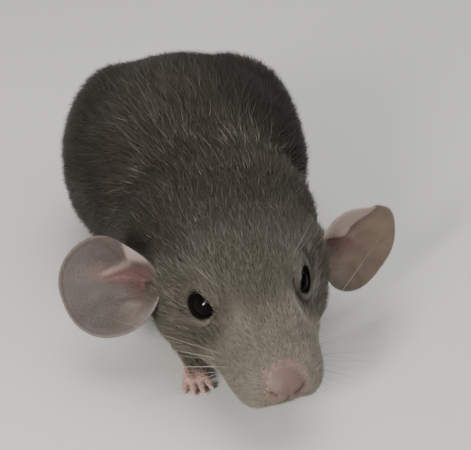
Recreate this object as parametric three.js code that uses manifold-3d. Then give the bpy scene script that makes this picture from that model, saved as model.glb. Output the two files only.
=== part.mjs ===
// A young dumbo rat, crouched on the floor with its head low, at life size in millimetres, +Z up.
// The rat faces -Y and its own left side is +X. The solids follow the outside of the coat.
import * as THREE from "three";
import { mergeVertices } from "three/addons/utils/BufferGeometryUtils.js";
import Module from "manifold-3d";

const wasm = await Module();
wasm.setup();

// Driving dimensions
const GAP = 0.3; // kept between neighbouring pieces
const EYE_HEIGHT = 20.5;
const EYE_RADIUS = 3.3;
const EYE_GAP = 0.15; // between an eyeball and its lids
const LID_THICKNESS = 0.35;
const LID_PATCH = 4.5; // the piece of the face that carries the lids reaches this far from the eye's middle
const EYE_OPENING = [3.15, 2.75]; // half its length towards the nose, and half its height
const EAR_RADIUS = 8.7;
const EAR_ROOT_THICKNESS = 1.3;
const EAR_RIM_THICKNESS = 0.6;
const TAIL_ROOT_RADIUS = 3.1;
const TAIL_TIP_RADIUS = 0.6;
const TAIL_LENGTHS = 4; // how many nodes the tail is divided into
const NECK_FRONT = 15; // behind the eyes, in the head's frame
const NECK_BACK = -19.5; // the plane between neck and torso

// The head's own frame has its origin between the eyes, x to the rat's left, y backwards and z up.
const degrees = THREE.MathUtils.degToRad;
const HEAD_TURN = degrees(1.5);
const HEAD_NOD = degrees(6.5);
const HEAD_TILT = degrees(-4);
const headFrame = new THREE.Matrix4()
  .makeTranslation(0, -42, EYE_HEIGHT)
  .multiply(new THREE.Matrix4().makeRotationZ(HEAD_TURN))
  .multiply(new THREE.Matrix4().makeRotationX(HEAD_NOD))
  .multiply(new THREE.Matrix4().makeRotationY(HEAD_TILT));
const headInverse = headFrame.clone().invert();

// Places on the head, in its frame, for the left side
const EYE = [7.0, 0.9, -0.5];
const EYE_AXIS = [0.825, -0.465, 0.32];
const NOSE = [0, -16.6, -4.9];
const MUZZLE_BACK = -6; // the plane between muzzle and skull
const MOUTH_FRONT = [0, -16.4, -8.9];
const MOUTH_CORNER = [5.2, -6.5, -10.4];

// Distance fields: each takes a point as [x, y, z] and gives how far it is outside a shape.
function ellipsoid([cx, cy, cz], [rx, ry, rz], lean = 0) {
  const c = Math.cos(degrees(lean));
  const s = Math.sin(degrees(lean));
  return ([px, py, pz]) => {
    const x = px - cx;
    const y = (py - cy) * c + (pz - cz) * s;
    const z = (pz - cz) * c - (py - cy) * s;
    const near = Math.hypot(x / rx, y / ry, z / rz);
    const slope = Math.hypot(x / (rx * rx), y / (ry * ry), z / (rz * rz));
    return slope < 1e-9 ? -Math.min(rx, ry, rz) : (near * (near - 1)) / slope;
  };
}

function taperedRod(a, ra, b, rb) {
  const d = b.map((v, i) => v - a[i]);
  const long2 = d[0] * d[0] + d[1] * d[1] + d[2] * d[2];
  return (p) => {
    const q = [p[0] - a[0], p[1] - a[1], p[2] - a[2]];
    const t = THREE.MathUtils.clamp((q[0] * d[0] + q[1] * d[1] + q[2] * d[2]) / long2, 0, 1);
    return Math.hypot(q[0] - t * d[0], q[1] - t * d[1], q[2] - t * d[2]) - ra - t * (rb - ra);
  };
}

// The lids lie on the eyeball and leave an almond open, narrower towards the nose.
function lidded(centre, axis) {
  const outward = new THREE.Vector3(...axis).normalize();
  const above = new THREE.Vector3(0, 0, 1).addScaledVector(outward, -outward.z).normalize();
  const ahead = new THREE.Vector3(0, -1, 0).addScaledVector(outward, outward.y);
  ahead.addScaledVector(above, -ahead.dot(above)).normalize();
  const from = new THREE.Vector3();
  return ([x, y, z]) => {
    from.set(x - centre[0], y - centre[1], z - centre[2]);
    const u = from.dot(ahead) / EYE_OPENING[0];
    const v = from.dot(above) / (EYE_OPENING[1] * (1 - 0.25 * THREE.MathUtils.clamp(u, -1, 1)));
    const open = from.dot(outward) > 0 ? (1 - Math.hypot(u, v)) * EYE_OPENING[1] : -9;
    const deep = from.addScaledVector(outward, 0.1).length();
    return Math.max(deep - (EYE_RADIUS + EYE_GAP + LID_THICKNESS), open);
  };
}

function blend(a, b, soft) {
  const h = Math.max(soft - Math.abs(a - b), 0);
  return Math.min(a, b) - (h * h) / (4 * soft);
}

const SIDES = [
  ["left", 1],
  ["right", -1],
];
const onSide = ([x, y, z], sign) => [x * sign, y, z];
const bothSides = (shapeFor) => SIDES.flatMap(([, sign]) => shapeFor((p) => onSide(p, sign)));

// Each entry is a shape and how softly it joins what comes before it.
const headShapes = [
  [ellipsoid([0, 10.5, -1.2], [12.4, 13.0, 10.2]), 1], // brain case
  [ellipsoid([0, -1.0, -0.9], [7.4, 11.5, 6.8], -8), 5], // forehead
  [taperedRod([0, 1.0, -3.4], 7.8, [0, -12.0, -6.0], 5.5), 5], // muzzle
  [taperedRod([0, 6.0, -10.0], 6.6, [0, -10.8, -10.6], 3.2), 4], // jaw
  [ellipsoid([0, -13.4, -10.4], [2.7, 2.4, 1.7]), 1.5], // lower lip
  ...bothSides((at) => [
    [ellipsoid(at([8.8, 7.5, -7.8]), [6.9, 9.8, 7.2]), 6], // cheek
    [ellipsoid(at([5.4, -3.0, -6.8]), [4.4, 7.5, 5.2]), 4], // front of the cheek
    [ellipsoid(at([4.0, -11.8, -6.8]), [4.1, 6.0, 4.2]), 3], // whisker pad
    [ellipsoid(at([12.6, 9.8, -2.2]), [4.4, 4.6, 5.0]), 4], // ear root
  ]),
  [ellipsoid(NOSE, [2.7, 2.5, 2.5]), 1.6],
];
const ORBIT_RADIUS = 9; // the dip round each eye
const ORBIT_FLOOR = 0.6; // from the middle of the eye to the floor of the dip
const orbits = bothSides((at) => {
  const centre = at(EYE.map((v, i) => v + EYE_AXIS[i] * (ORBIT_FLOOR + ORBIT_RADIUS)));
  return [ellipsoid(centre, Array(3).fill(ORBIT_RADIUS))];
});
const lidShapes = bothSides((at) => [lidded(at(EYE), at(EYE_AXIS))]);

const bodyShapes = [
  [ellipsoid([-1.5, 6, 20.8], [24.3, 25.5, 21.2]), 1], // hips and belly
  [ellipsoid([-1, 1, 24.5], [19.5, 18, 19.0]), 6], // arch of the back
  [ellipsoid([0, -12, 18.6], [18.0, 16, 16.4]), 7], // ribs
  [taperedRod([0.5, -21, 20.2], 15.4, [0, -33, 19.0], 12.0), 5], // neck
  ...bothSides((at) => [
    [ellipsoid(at([8.5, -22, 15.5]), [10.3, 10.5, 14.5]), 6], // shoulder
    [ellipsoid(at([12.5, 13, 19.5]), [13.0, 17, 19.0]), 5], // haunch
    [ellipsoid(at([15.0, 11, 13.0]), [9.5, 13.5, 13.0]), 6], // thigh
  ]),
  [taperedRod([-1, 22, 13], 10, [-1.5, 32, 6.5], TAIL_ROOT_RADIUS), 6], // root of the tail
];

// The cup of an ear: a round dish with a pit at its root, where it stands on the head.
// out points away from the head, up runs along the ear's height, and the cup faces out x up.
// outline is the rim's distance from the middle of the dish, every 30 degrees from out towards up, and
// fold is how far the front edge near the head is folded forwards, and lean how much flatter the cup is there.
const EARS = {
  left: {
    root: [17.8, 9.4, -3.0],
    out: [0.846, 0.307, -0.423],
    up: [0.373, 0.201, 0.893],
    dish: [9.6, 0.0],
    outline: [8.1, 8.4, 8.9, 9.8, 11.4, 13.7, 13.4, 10.4, 9.1, 8.7, 8.3, 8.1],
    fold: 0.9,
    lean: 0.95,
  },
  right: {
    root: [-16.6, 9.6, -1.6],
    out: [-0.836, 0.528, -0.127],
    up: [0.202, 0.523, 0.827],
    dish: [7.7, -0.8],
    outline: [8.9, 9.0, 8.9, 9.1, 9.8, 10.9, 11.1, 10.4, 9.5, 9.2, 8.9, 8.7],
    fold: 2.6,
    lean: 0,
  },
};
function earFrame(name, sign) {
  const { root, out, up } = EARS[name];
  const outward = new THREE.Vector3(...out).normalize();
  const upward = new THREE.Vector3(...up);
  upward.addScaledVector(outward, -upward.dot(outward)).normalize();
  const facing = new THREE.Vector3().crossVectors(outward, upward).multiplyScalar(sign);
  return { outward, upward, facing, foot: new THREE.Vector3(...root).applyMatrix4(headFrame) };
}
const canals = SIDES.map(([name, sign]) => {
  const { facing, foot } = earFrame(name, sign);
  return ellipsoid(foot.addScaledVector(facing, 2.2).toArray(), [3.4, 3.4, 3.4]);
});

const probe = new THREE.Vector3();
function joined(shapes, p) {
  return shapes.reduce((far, [shape, soft]) => blend(far, shape(p), soft), 1e3);
}
function headField(p) {
  const carved = orbits.reduce((d, orbit) => -blend(-d, orbit(p), 2.4), joined(headShapes, p));
  return lidShapes.reduce((d, lid) => blend(d, lid(p), 0.7), carved);
}
function flesh(p) {
  const [x, y, z] = p;
  probe.set(x, y, z).applyMatrix4(headInverse);
  const head = y < -8 ? headField([probe.x, probe.y, probe.z]) : 1e3;
  const body = y > -52 ? joined(bodyShapes, p) : 1e3;
  return canals.reduce((d, canal) => -blend(-d, canal(p), 1.2), blend(head, body, 5));
}

// A solid's skin as one closed net: a corner in each cell that the surface crosses, a face for each crossed edge.
function skin(field, low, high, cell) {
  const count = low.map((v, i) => Math.ceil((high[i] - v) / cell) + 1);
  const place = (index) => low.map((v, i) => v + index[i] * cell);
  const number = ([i, j, k]) => i + count[0] * (j + count[1] * k);
  const value = new Float64Array(count[0] * count[1] * count[2]);
  const each = (from, visit) => {
    for (let k = from; k < count[2] - from; k++)
      for (let j = from; j < count[1] - from; j++)
        for (let i = from; i < count[0] - from; i++) visit([i, j, k]);
  };
  value.fill(cell); // the border counts as air, which closes the net there
  each(1, (index) => {
    value[number(index)] = field(place(index));
  });

  const points = [];
  const cornerOf = new Map();
  const cornerAt = (index) => {
    const key = number(index);
    if (!cornerOf.has(key)) {
      cornerOf.set(key, points.length / 3);
      points.push(...settle(crossing(index)));
    }
    return cornerOf.get(key);
  };
  const crossing = (index) => {
    const sum = [0, 0, 0];
    let crossed = 0;
    for (let axis = 0; axis < 3; axis++)
      for (const [u, v] of [[0, 0], [0, 1], [1, 0], [1, 1]]) {
        const a = [...index];
        a[(axis + 1) % 3] += u;
        a[(axis + 2) % 3] += v;
        const b = [...a];
        b[axis] += 1;
        const va = value[number(a)];
        const vb = value[number(b)];
        if (va < 0 === vb < 0) continue;
        const p = place(a);
        p[axis] += (cell * va) / (va - vb);
        p.forEach((c, i) => (sum[i] += c));
        crossed++;
      }
    return sum.map((c) => c / crossed);
  };
  const settle = (p) => {
    const d = field(p);
    if (Math.abs(d) > cell * 0.5) return p; // a corner of the closing border
    const step = cell * 0.05;
    const slope = p.map((c, i) => (field(p.map((v, j) => (i === j ? v + step : v))) - d) / step);
    const steep = slope.reduce((sum, s) => sum + s * s, 0);
    return steep < 0.05 ? p : p.map((c, i) => c - (d * slope[i]) / steep);
  };

  const faces = [];
  const apart = (a, b) => [0, 1, 2].reduce((sum, i) => sum + (points[3 * a + i] - points[3 * b + i]) ** 2, 0);
  each(0, (index) => {
    for (let axis = 0; axis < 3; axis++) {
      const next = [...index];
      next[axis] += 1;
      if (next[axis] === count[axis]) continue;
      const inside = value[number(index)] < 0;
      if (inside === value[number(next)] < 0) continue;
      const ring = [[-1, -1], [0, -1], [0, 0], [-1, 0]].map(([u, v]) => {
        const c = [...index];
        c[(axis + 1) % 3] += u;
        c[(axis + 2) % 3] += v;
        return cornerAt(c);
      });
      if (!inside) ring.reverse();
      const [a, b, c, d] = ring;
      if (apart(a, c) < apart(b, d)) faces.push(a, b, c, a, c, d);
      else faces.push(a, b, d, b, c, d);
    }
  });
  return new wasm.Manifold(
    new wasm.Mesh({
      numProp: 3,
      vertProperties: new Float32Array(points),
      triVerts: new Uint32Array(faces),
    }),
  );
}

function solid(geometry) {
  const bare = geometry.clone();
  bare.deleteAttribute("normal");
  bare.deleteAttribute("uv");
  const merged = mergeVertices(bare, 1e-4);
  return new wasm.Manifold(
    new wasm.Mesh({
      numProp: 3,
      vertProperties: new Float32Array(merged.attributes.position.array),
      triVerts: new Uint32Array(merged.index.array),
    }),
  );
}

function largest(piece) {
  return piece.decompose().reduce((a, b) => (a.volume() > b.volume() ? a : b));
}

// Everything on the far side of a plane, seen from the way that its normal points
function behindPlane(point, normal, frame = new THREE.Matrix4()) {
  const size = 400;
  const box = new THREE.BoxGeometry(size, size, size).translate(0, 0, -size / 2);
  const turn = new THREE.Quaternion().setFromUnitVectors(
    new THREE.Vector3(0, 0, 1),
    new THREE.Vector3(...normal).normalize(),
  );
  box.applyQuaternion(turn).translate(...point).applyMatrix4(frame);
  return solid(box);
}

function ball(centre, radii, grow = 0, frame = new THREE.Matrix4(), around = 16) {
  const shape = new THREE.SphereGeometry(1, around, around / 2).rotateX(Math.PI / 2);
  shape.scale(...radii.map((r) => r + grow)).translate(...centre).applyMatrix4(frame);
  return solid(shape);
}

// A tapering limb along a smooth path. Each station is [x, y, z, half width, half height].
function limb(stations, sides, steps, grow = 0, from = 0, to = 1) {
  const path = new THREE.CatmullRomCurve3(stations.map((s) => new THREE.Vector3(s[0], s[1], s[2])));
  const size = new THREE.CatmullRomCurve3(stations.map((s) => new THREE.Vector3(s[3], s[4], 0)));
  const position = [];
  const index = [];
  const up = new THREE.Vector3(0, 0, 1);
  for (let i = 0; i <= steps; i++) {
    const t = from + ((to - from) * i) / steps;
    const centre = path.getPoint(t);
    const along = path.getTangent(t);
    const across = new THREE.Vector3().crossVectors(along, up).normalize();
    const above = new THREE.Vector3().crossVectors(across, along);
    const half = size.getPoint(t);
    for (let j = 0; j < sides; j++) {
      const angle = (2 * Math.PI * j) / sides;
      const corner = centre
        .clone()
        .addScaledVector(across, Math.cos(angle) * (half.x + grow))
        .addScaledVector(above, Math.sin(angle) * (half.y + grow));
      position.push(...corner.toArray());
      if (i === steps) continue;
      const a = i * sides + j;
      const b = i * sides + ((j + 1) % sides);
      index.push(a, a + sides, b, b, a + sides, b + sides);
    }
  }
  const last = steps * sides;
  for (const [t, ring, flip] of [[from, 0, false], [to, last, true]]) {
    const centre = position.length / 3;
    const end = path.getPoint(t).addScaledVector(path.getTangent(t), flip ? grow : -grow);
    position.push(...end.toArray());
    for (let j = 0; j < sides; j++) {
      const a = ring + j;
      const b = ring + ((j + 1) % sides);
      index.push(centre, ...(flip ? [b, a] : [a, b]));
    }
  }
  const shape = new THREE.BufferGeometry();
  shape.setAttribute("position", new THREE.Float32BufferAttribute(position, 3));
  shape.setIndex(index);
  const made = solid(shape);
  return made.volume() < 0 ? solid(turnedInsideOut(shape)) : made;
}

function turnedInsideOut(shape) {
  const turned = shape.clone();
  const corners = turned.index.array;
  for (let i = 0; i < corners.length; i += 3) [corners[i], corners[i + 1]] = [corners[i + 1], corners[i]];
  return turned;
}

const union = (pieces) => wasm.Manifold.union(pieces);
const aboveFloor = behindPlane([0, 0, 0], [0, 0, -1]);

// Feet: digits fan out from the palm or the sole, each with a short claw.
const HIND_FOOT = {
  heel: [15.5, 16.5, 2.2],
  ball: [18.4, -2.0, 1.5],
  toes: 5,
  toeLength: 6.2,
  toeRadius: 0.95,
  fan: 13,
  halfWidth: 2.7,
};
const FOREPAW = {
  heel: [9.6, -35.4, 2.6],
  ball: [9.9, -39.6, 1.35],
  toes: 4,
  toeLength: 3.6,
  toeRadius: 0.68,
  fan: 17,
  halfWidth: 2.1,
};

function foot(size, sign, grow = 0) {
  const heel = onSide(size.heel, sign);
  const front = onSide(size.ball, sign);
  const heading = Math.atan2(front[0] - heel[0], heel[1] - front[1]);
  const middle = heel.map((v, i) => (v + front[i]) / 2);
  const sole = limb(
    [
      [...heel, size.halfWidth * 0.45, 1.3],
      [heel[0] * 0.8 + middle[0] * 0.2, heel[1] * 0.8 + middle[1] * 0.2, heel[2], size.halfWidth * 0.75, 2.2],
      [...middle, size.halfWidth * 0.86, 1.9],
      [...front, size.halfWidth, 1.5],
      [front[0] + Math.sin(heading) * 1.2, front[1] - Math.cos(heading) * 1.2, 1.2, size.halfWidth * 0.8, 1.1],
    ],
    8,
    3,
    grow,
  );
  const digits = [];
  for (let i = 0; i < size.toes; i++) {
    const across = (i / (size.toes - 1)) * 2 - 1;
    const way = heading + degrees(across * size.fan);
    const reach = size.toeLength * (1 - 0.22 * across * across);
    const root = across * (size.halfWidth - size.toeRadius * 0.7);
    const start = [front[0] + Math.cos(heading) * root, front[1] + Math.sin(heading) * root];
    const station = (far, height, radius) => [
      start[0] + Math.sin(way) * far * reach,
      start[1] - Math.cos(way) * far * reach,
      height,
      radius,
      radius,
    ];
    const r = size.toeRadius;
    digits.push(
      limb(
        [station(-0.1, r * 1.2, r), station(0.35, r * 1.5, r * 0.9), station(0.75, r * 1.0, r), station(1, r, r * 0.6)],
        5,
        2,
        grow,
      ),
      limb([station(0.9, r, r * 0.5), station(1.12, r * 1.1, r * 0.36), station(1.3, r * 0.5, 0.12)], 4, 1, grow),
    );
  }
  return union([sole, ...digits]).intersect(aboveFloor);
}

function forearm(sign, grow = 0) {
  const stations = [
    [11.5, -23.5, 8.5, 4.0, 4.2],
    [11.0, -28.5, 5.6, 3.2, 3.2],
    [10.1, -32.5, 3.9, 2.3, 2.3],
    [9.7, -35.1, 3.0, 1.9, 1.9],
  ].map(([x, y, z, w, h]) => [x * sign, y, z, w, h]);
  return limb(stations, 9, 4, grow).intersect(aboveFloor);
}

const EAR_CUP = 1.5; // how far the rim stands above the middle of the dish
const EAR_PIT = 2.6;
const EAR_FOLD_ANGLE = 122; // where the fold is deepest

function earRim(outline, angle) {
  const n = outline.length;
  const place = ((angle / (2 * Math.PI)) * n + n) % n;
  const i = Math.floor(place);
  const [a, b, c, d] = [i + n - 1, i, i + 1, i + 2].map((k) => outline[k % n]);
  const t = place - i;
  return b + 0.5 * t * (c - a + t * (2 * a - 5 * b + 4 * c - d + t * (3 * (b - c) + d - a)));
}

function ear(name, sign) {
  const { dish, outline, fold, lean } = EARS[name];
  const { outward, upward, facing, foot } = earFrame(name, sign);
  const rings = 4;
  const spokes = 24;
  const sheet = (s, angle) => {
    const aside = Math.abs(angle - degrees(EAR_FOLD_ANGLE));
    const folded = Math.exp(-((aside / 0.62) ** 2)) * THREE.MathUtils.smoothstep(s, 0.45, 1);
    const far = s * earRim(outline, angle) * (1 - 0.08 * folded);
    const a = dish[0] + far * Math.cos(angle);
    const b = dish[1] + far * Math.sin(angle);
    const pit = -EAR_PIT * Math.exp(-(a * a + b * b) / 8);
    const flat = 1 - lean * Math.exp(-(((angle - degrees(150)) / 0.75) ** 2));
    return foot
      .clone()
      .addScaledVector(outward, a)
      .addScaledVector(upward, b)
      .addScaledVector(facing, pit + fold * folded + flat * EAR_CUP * (far / EAR_RADIUS) ** 2);
  };
  const faces = [0.5, -0.5].map((side) => {
    const corners = [];
    for (let ring = 0; ring <= rings; ring++)
      for (let spoke = 0; spoke < spokes; spoke++) {
        const s = Math.max(ring / rings, 0.02);
        const angle = (2 * Math.PI * spoke) / spokes;
        const p = sheet(s, angle);
        const normal = sheet(s + 0.01, angle).sub(p).cross(sheet(s, angle + 0.01).sub(p)).normalize();
        const thick = EAR_ROOT_THICKNESS + (EAR_RIM_THICKNESS - EAR_ROOT_THICKNESS) * s;
        corners.push(p.addScaledVector(normal, side * thick));
      }
    return corners;
  });
  const position = faces.flatMap((corners) => corners.flatMap((p) => p.toArray()));
  const index = [];
  const corner = (ring, spoke, face) => (face * (rings + 1) + ring) * spokes + (spoke % spokes);
  for (let spoke = 0; spoke < spokes; spoke++) {
    for (const face of [0, 1])
      for (let ring = 0; ring < rings; ring++) {
        const [a, b] = [corner(ring, spoke, face), corner(ring, spoke + 1, face)];
        const [c, d] = [corner(ring + 1, spoke, face), corner(ring + 1, spoke + 1, face)];
        if (face) index.push(a, b, c, b, d, c);
        else index.push(a, c, b, b, c, d);
      }
    const [a, b] = [corner(rings, spoke, 0), corner(rings, spoke + 1, 0)];
    const [c, d] = [corner(rings, spoke, 1), corner(rings, spoke + 1, 1)];
    index.push(a, c, b, b, c, d);
    if (spoke === 0 || spoke === spokes - 1) continue;
    index.push(corner(0, 0, 0), corner(0, spoke, 0), corner(0, spoke + 1, 0));
    index.push(corner(0, 0, 1), corner(0, spoke + 1, 1), corner(0, spoke, 1));
  }
  const shape = new THREE.BufferGeometry();
  shape.setAttribute("position", new THREE.Float32BufferAttribute(position, 3));
  shape.setIndex(index);
  const made = solid(shape);
  return made.volume() < 0 ? solid(turnedInsideOut(shape)) : made;
}

// The tail lies on the floor behind the rump in gentle bends.
const TAIL_PATH = [
  [-1, 26, 9.2],
  [-2, 32.5, 5.6],
  [-2.5, 41, 2.4],
  [4, 51, 2.05],
  [15, 57.5, 1.76],
  [23, 65, 1.46],
  [22, 77, 1.16],
  [19, 87, 0.86],
  [25, 95, 0.56],
];
function tailLength(from, to) {
  const stations = TAIL_PATH.map((p, i) => {
    const r = TAIL_ROOT_RADIUS + (TAIL_TIP_RADIUS - TAIL_ROOT_RADIUS) * (i / (TAIL_PATH.length - 1));
    return [...p, r, r];
  });
  return limb(stations, 9, 7, 0, from, to).intersect(aboveFloor);
}

// Colours and finishes
const finishes = {
  fur: new THREE.MeshStandardMaterial({ color: 0x57534a, roughness: 0.9, metalness: 0 }),
  paleFur: new THREE.MeshStandardMaterial({ color: 0x8a8679, roughness: 0.9, metalness: 0 }),
  skin: new THREE.MeshStandardMaterial({ color: 0xa88982, roughness: 0.6, metalness: 0 }),
  ear: new THREE.MeshStandardMaterial({ color: 0x8d7f7a, roughness: 0.65, metalness: 0 }),
  eye: new THREE.MeshStandardMaterial({ color: 0x0a0a0a, roughness: 0.08, metalness: 0 }),
};

const rat = new THREE.Group();
function addNode(name, piece, finish) {
  const mesh = largest(piece).getMesh();
  const shape = new THREE.BufferGeometry();
  shape.setAttribute("position", new THREE.BufferAttribute(mesh.vertProperties, 3));
  shape.setIndex(new THREE.BufferAttribute(mesh.triVerts, 1));
  shape.computeVertexNormals();
  const node = new THREE.Mesh(shape, finish);
  node.name = name;
  rat.add(node);
}

// Limbs come first, because the flesh round them is cut to clear them.
const limbs = [];
for (const [name, sign] of SIDES) {
  addNode(`hind_foot_${name}`, foot(HIND_FOOT, sign), finishes.skin);
  const paw = foot(FOREPAW, sign);
  const arm = forearm(sign);
  addNode(`forepaw_${name}`, paw, finishes.skin);
  addNode(`forearm_${name}`, arm.subtract(foot(FOREPAW, sign, GAP)), finishes.fur);
  limbs.push(foot(HIND_FOOT, sign, GAP), foot(FOREPAW, sign, GAP), forearm(sign, GAP));
}
const limbRoom = union(limbs);

const THIGH = { centre: [17.5, 9.5, 12.5], radii: [11.0, 15.0, 14.0] };
const SHOULDER = { centre: [15.5, -25.0, 10.5], radii: [8.0, 9.0, 10.0] };
const legRoom = [];
const fleshNear = (low, high, cell) => skin(flesh, low, high, cell).intersect(aboveFloor).subtract(limbRoom);
for (const [name, sign] of SIDES)
  for (const [part, cut, cell] of [["thigh", THIGH, 4.2], ["upper_arm", SHOULDER, 3.4]]) {
    const centre = onSide(cut.centre, sign);
    const low = centre.map((v, i) => v - cut.radii[i] - 2 * cell);
    const high = centre.map((v, i) => v + cut.radii[i] + 2 * cell);
    addNode(`${part}_${name}`, fleshNear(low, high, cell).intersect(ball(centre, cut.radii)), finishes.fur);
    legRoom.push(ball(centre, cut.radii, GAP));
  }
const legs = union(legRoom);

const neckPlane = (extra) => behindPlane([0, NECK_FRONT + extra, 0], [0, 1, 0], headFrame);
const torsoPlane = (extra) => behindPlane([0, NECK_BACK + extra, 0], [0, 1, 0]);
const torso = fleshNear([-34, -28, -4.5], [32, 44, 52], 4.6).subtract(torsoPlane(GAP / 2)).subtract(legs);
addNode("torso", torso, finishes.fur);
const neck = fleshNear([-26, -38, -3.8], [26, -12, 46], 3.8)
  .intersect(torsoPlane(-GAP / 2))
  .subtract(neckPlane(GAP / 2))
  .subtract(legs);
addNode("neck", neck, finishes.fur);

// The skull's part of the head, the muzzle, the nose and the lower jaw
const inHead = (p) => {
  probe.set(...p).applyMatrix4(headFrame);
  return [probe.x, probe.y, probe.z];
};
function headPiece(low, high, cell) {
  const corners = [0, 1, 2, 3, 4, 5, 6, 7].map((n) =>
    inHead([n & 1 ? high[0] : low[0], n & 2 ? high[1] : low[1], n & 4 ? high[2] : low[2]]),
  );
  const least = [0, 1, 2].map((i) => Math.min(...corners.map((c) => c[i])));
  const most = [0, 1, 2].map((i) => Math.max(...corners.map((c) => c[i])));
  return fleshNear(least, most, cell).subtract(legs);
}

const lidRoom = [];
for (const [name, sign] of SIDES) {
  const centre = onSide(EYE, sign);
  const eye = Array(3).fill(EYE_RADIUS);
  addNode(`eye_${name}`, ball(centre, eye, 0, headFrame), finishes.eye);
  const patch = Array(3).fill(LID_PATCH);
  const reach = 1.3 * LID_PATCH;
  const low = centre.map((v) => v - reach);
  const high = centre.map((v) => v + reach);
  const lid = headPiece(low, high, 0.85).intersect(ball(centre, patch, 0, headFrame));
  const lids = lid.subtract(ball(centre, eye, EYE_GAP, headFrame));
  addNode(`eyelids_${name}`, lids.simplify(0.02), finishes.fur);
  lidRoom.push(ball(centre, patch, GAP, headFrame));
}

const muzzlePlane = (extra) => behindPlane([0, MUZZLE_BACK + extra, 0], [0, 1, 0], headFrame);
const skull = headPiece([-21, -9, -20], [21, 19, 13], 2.3)
  .intersect(neckPlane(-GAP / 2))
  .subtract(muzzlePlane(GAP / 2))
  .subtract(union(lidRoom));
addNode("head", skull, finishes.fur);

// The mouth's plane runs back and down from under the nose.
const mouthNormal = [0, MOUTH_FRONT[2] - MOUTH_CORNER[2], MOUTH_CORNER[1] - MOUTH_FRONT[1]];
const mouthPlane = (extra) => behindPlane([0, MOUTH_FRONT[1], MOUTH_FRONT[2] + extra], mouthNormal, headFrame);
const nosePad = (grow) => ball([0, NOSE[1] - 1.2, NOSE[2]], [3.0, 2.9, 2.9], grow, headFrame);
const nostrils = union(
  SIDES.map(([, sign]) => ball(onSide([1.4, NOSE[1] - 2.1, NOSE[2] - 0.3], sign), [0.65, 1.1, 0.5], 0, headFrame, 8)),
);
const front = headPiece([-11, -22, -17], [11, -4, 7], 1.7).intersect(muzzlePlane(-GAP / 2));
addNode("muzzle", front.subtract(mouthPlane(GAP / 2)).subtract(nosePad(GAP)), finishes.paleFur);
addNode("lower_jaw", front.intersect(mouthPlane(-GAP / 2)).subtract(nosePad(GAP)), finishes.paleFur);
const noseSkin = headPiece([-4.2, -21, -9.4], [4.2, -13, -0.6], 1.05);
addNode("nose", noseSkin.intersect(nosePad(0)).subtract(nostrils), finishes.skin);

// Ears stand on the outside of the head.
const headRoom = skin((p) => flesh(p) - GAP, [-24, -42, -2], [24, -14, 44], 1.5);
for (const [name, sign] of SIDES) addNode(`ear_${name}`, ear(name, sign).subtract(headRoom), finishes.ear);

// The tail, from its root on the rump to its tip
const rumpRoom = skin((p) => flesh(p) - GAP, [-14, 14, -4], [12, 42, 26], 2.0);
for (let n = 0; n < TAIL_LENGTHS; n++) {
  const from = n / TAIL_LENGTHS + (n ? 0.0018 : 0);
  const to = (n + 1) / TAIL_LENGTHS - (n < TAIL_LENGTHS - 1 ? 0.0018 : 0);
  const piece = tailLength(from, to);
  addNode(`tail_${n + 1}`, n ? piece : piece.subtract(rumpRoom), finishes.skin);
}

// The origin is under the middle of the rat, on the floor.
const box = new THREE.Box3().setFromObject(rat);
const middle = box.getCenter(new THREE.Vector3());
rat.position.set(-middle.x, -middle.y, -box.min.z);

export default rat;
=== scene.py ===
"""A young dumbo rat, crouched on the floor with its head low, as a still model at life size.

Lengths in the classes are millimetres in the animal's own frame: it faces -Y, its left side is +X
and the floor is at height 0. Workshop.to_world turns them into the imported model's metres.
"""

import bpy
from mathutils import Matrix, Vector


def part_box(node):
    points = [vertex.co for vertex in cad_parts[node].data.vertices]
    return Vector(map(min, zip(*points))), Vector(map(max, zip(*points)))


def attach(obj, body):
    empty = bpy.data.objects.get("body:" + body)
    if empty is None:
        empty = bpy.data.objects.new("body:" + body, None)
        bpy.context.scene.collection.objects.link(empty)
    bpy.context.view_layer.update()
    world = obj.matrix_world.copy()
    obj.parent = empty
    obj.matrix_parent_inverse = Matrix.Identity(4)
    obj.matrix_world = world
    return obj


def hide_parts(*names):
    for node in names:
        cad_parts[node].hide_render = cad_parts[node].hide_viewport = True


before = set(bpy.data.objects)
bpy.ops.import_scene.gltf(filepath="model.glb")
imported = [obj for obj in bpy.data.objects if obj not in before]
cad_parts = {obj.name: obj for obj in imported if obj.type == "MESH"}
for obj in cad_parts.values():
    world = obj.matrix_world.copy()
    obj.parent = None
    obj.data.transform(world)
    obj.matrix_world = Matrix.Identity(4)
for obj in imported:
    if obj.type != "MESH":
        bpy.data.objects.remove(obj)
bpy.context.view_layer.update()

import logging
import math
from dataclasses import dataclass, field
from enum import Enum
from typing import Callable, Iterable, Sequence

import bpy
import numpy as np
from mathutils import Matrix, Vector

LOG = logging.getLogger("rat")
MM = 0.001
Array = np.ndarray
Shape = Callable[[Array], Array]
Colour = tuple[float, float, float]


class Side(Enum):
    """The animal's own left and right."""

    LEFT = 1
    RIGHT = -1

    @property
    def word(self) -> str:
        """The side's name in lower case."""
        return self.name.lower()


def on_side(point: Sequence[float], side: Side) -> Array:
    """Mirror a left-hand point to a side.

    Args:
        point: a point given for the animal's left.
        side: the side it is wanted on.

    Returns:
        The point on that side.
    """
    return np.array([point[0] * side.value, point[1], point[2]], dtype=float)


def unit(vectors: Array) -> Array:
    """Scale vectors to length one.

    Args:
        vectors: an array whose last axis is x, y, z.

    Returns:
        The unit vectors.
    """
    return vectors / np.maximum(np.linalg.norm(vectors, axis=-1, keepdims=True), 1e-9)


def ease(value: Array, low: float, high: float) -> Array:
    """Smooth step from 0 at low to 1 at high; low may be the larger one.

    Args:
        value: what is compared.
        low: where the step starts.
        high: where it ends.

    Returns:
        Numbers from 0 to 1.
    """
    t = np.clip((value - low) / (high - low), 0.0, 1.0)
    return t * t * (3.0 - 2.0 * t)


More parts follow.
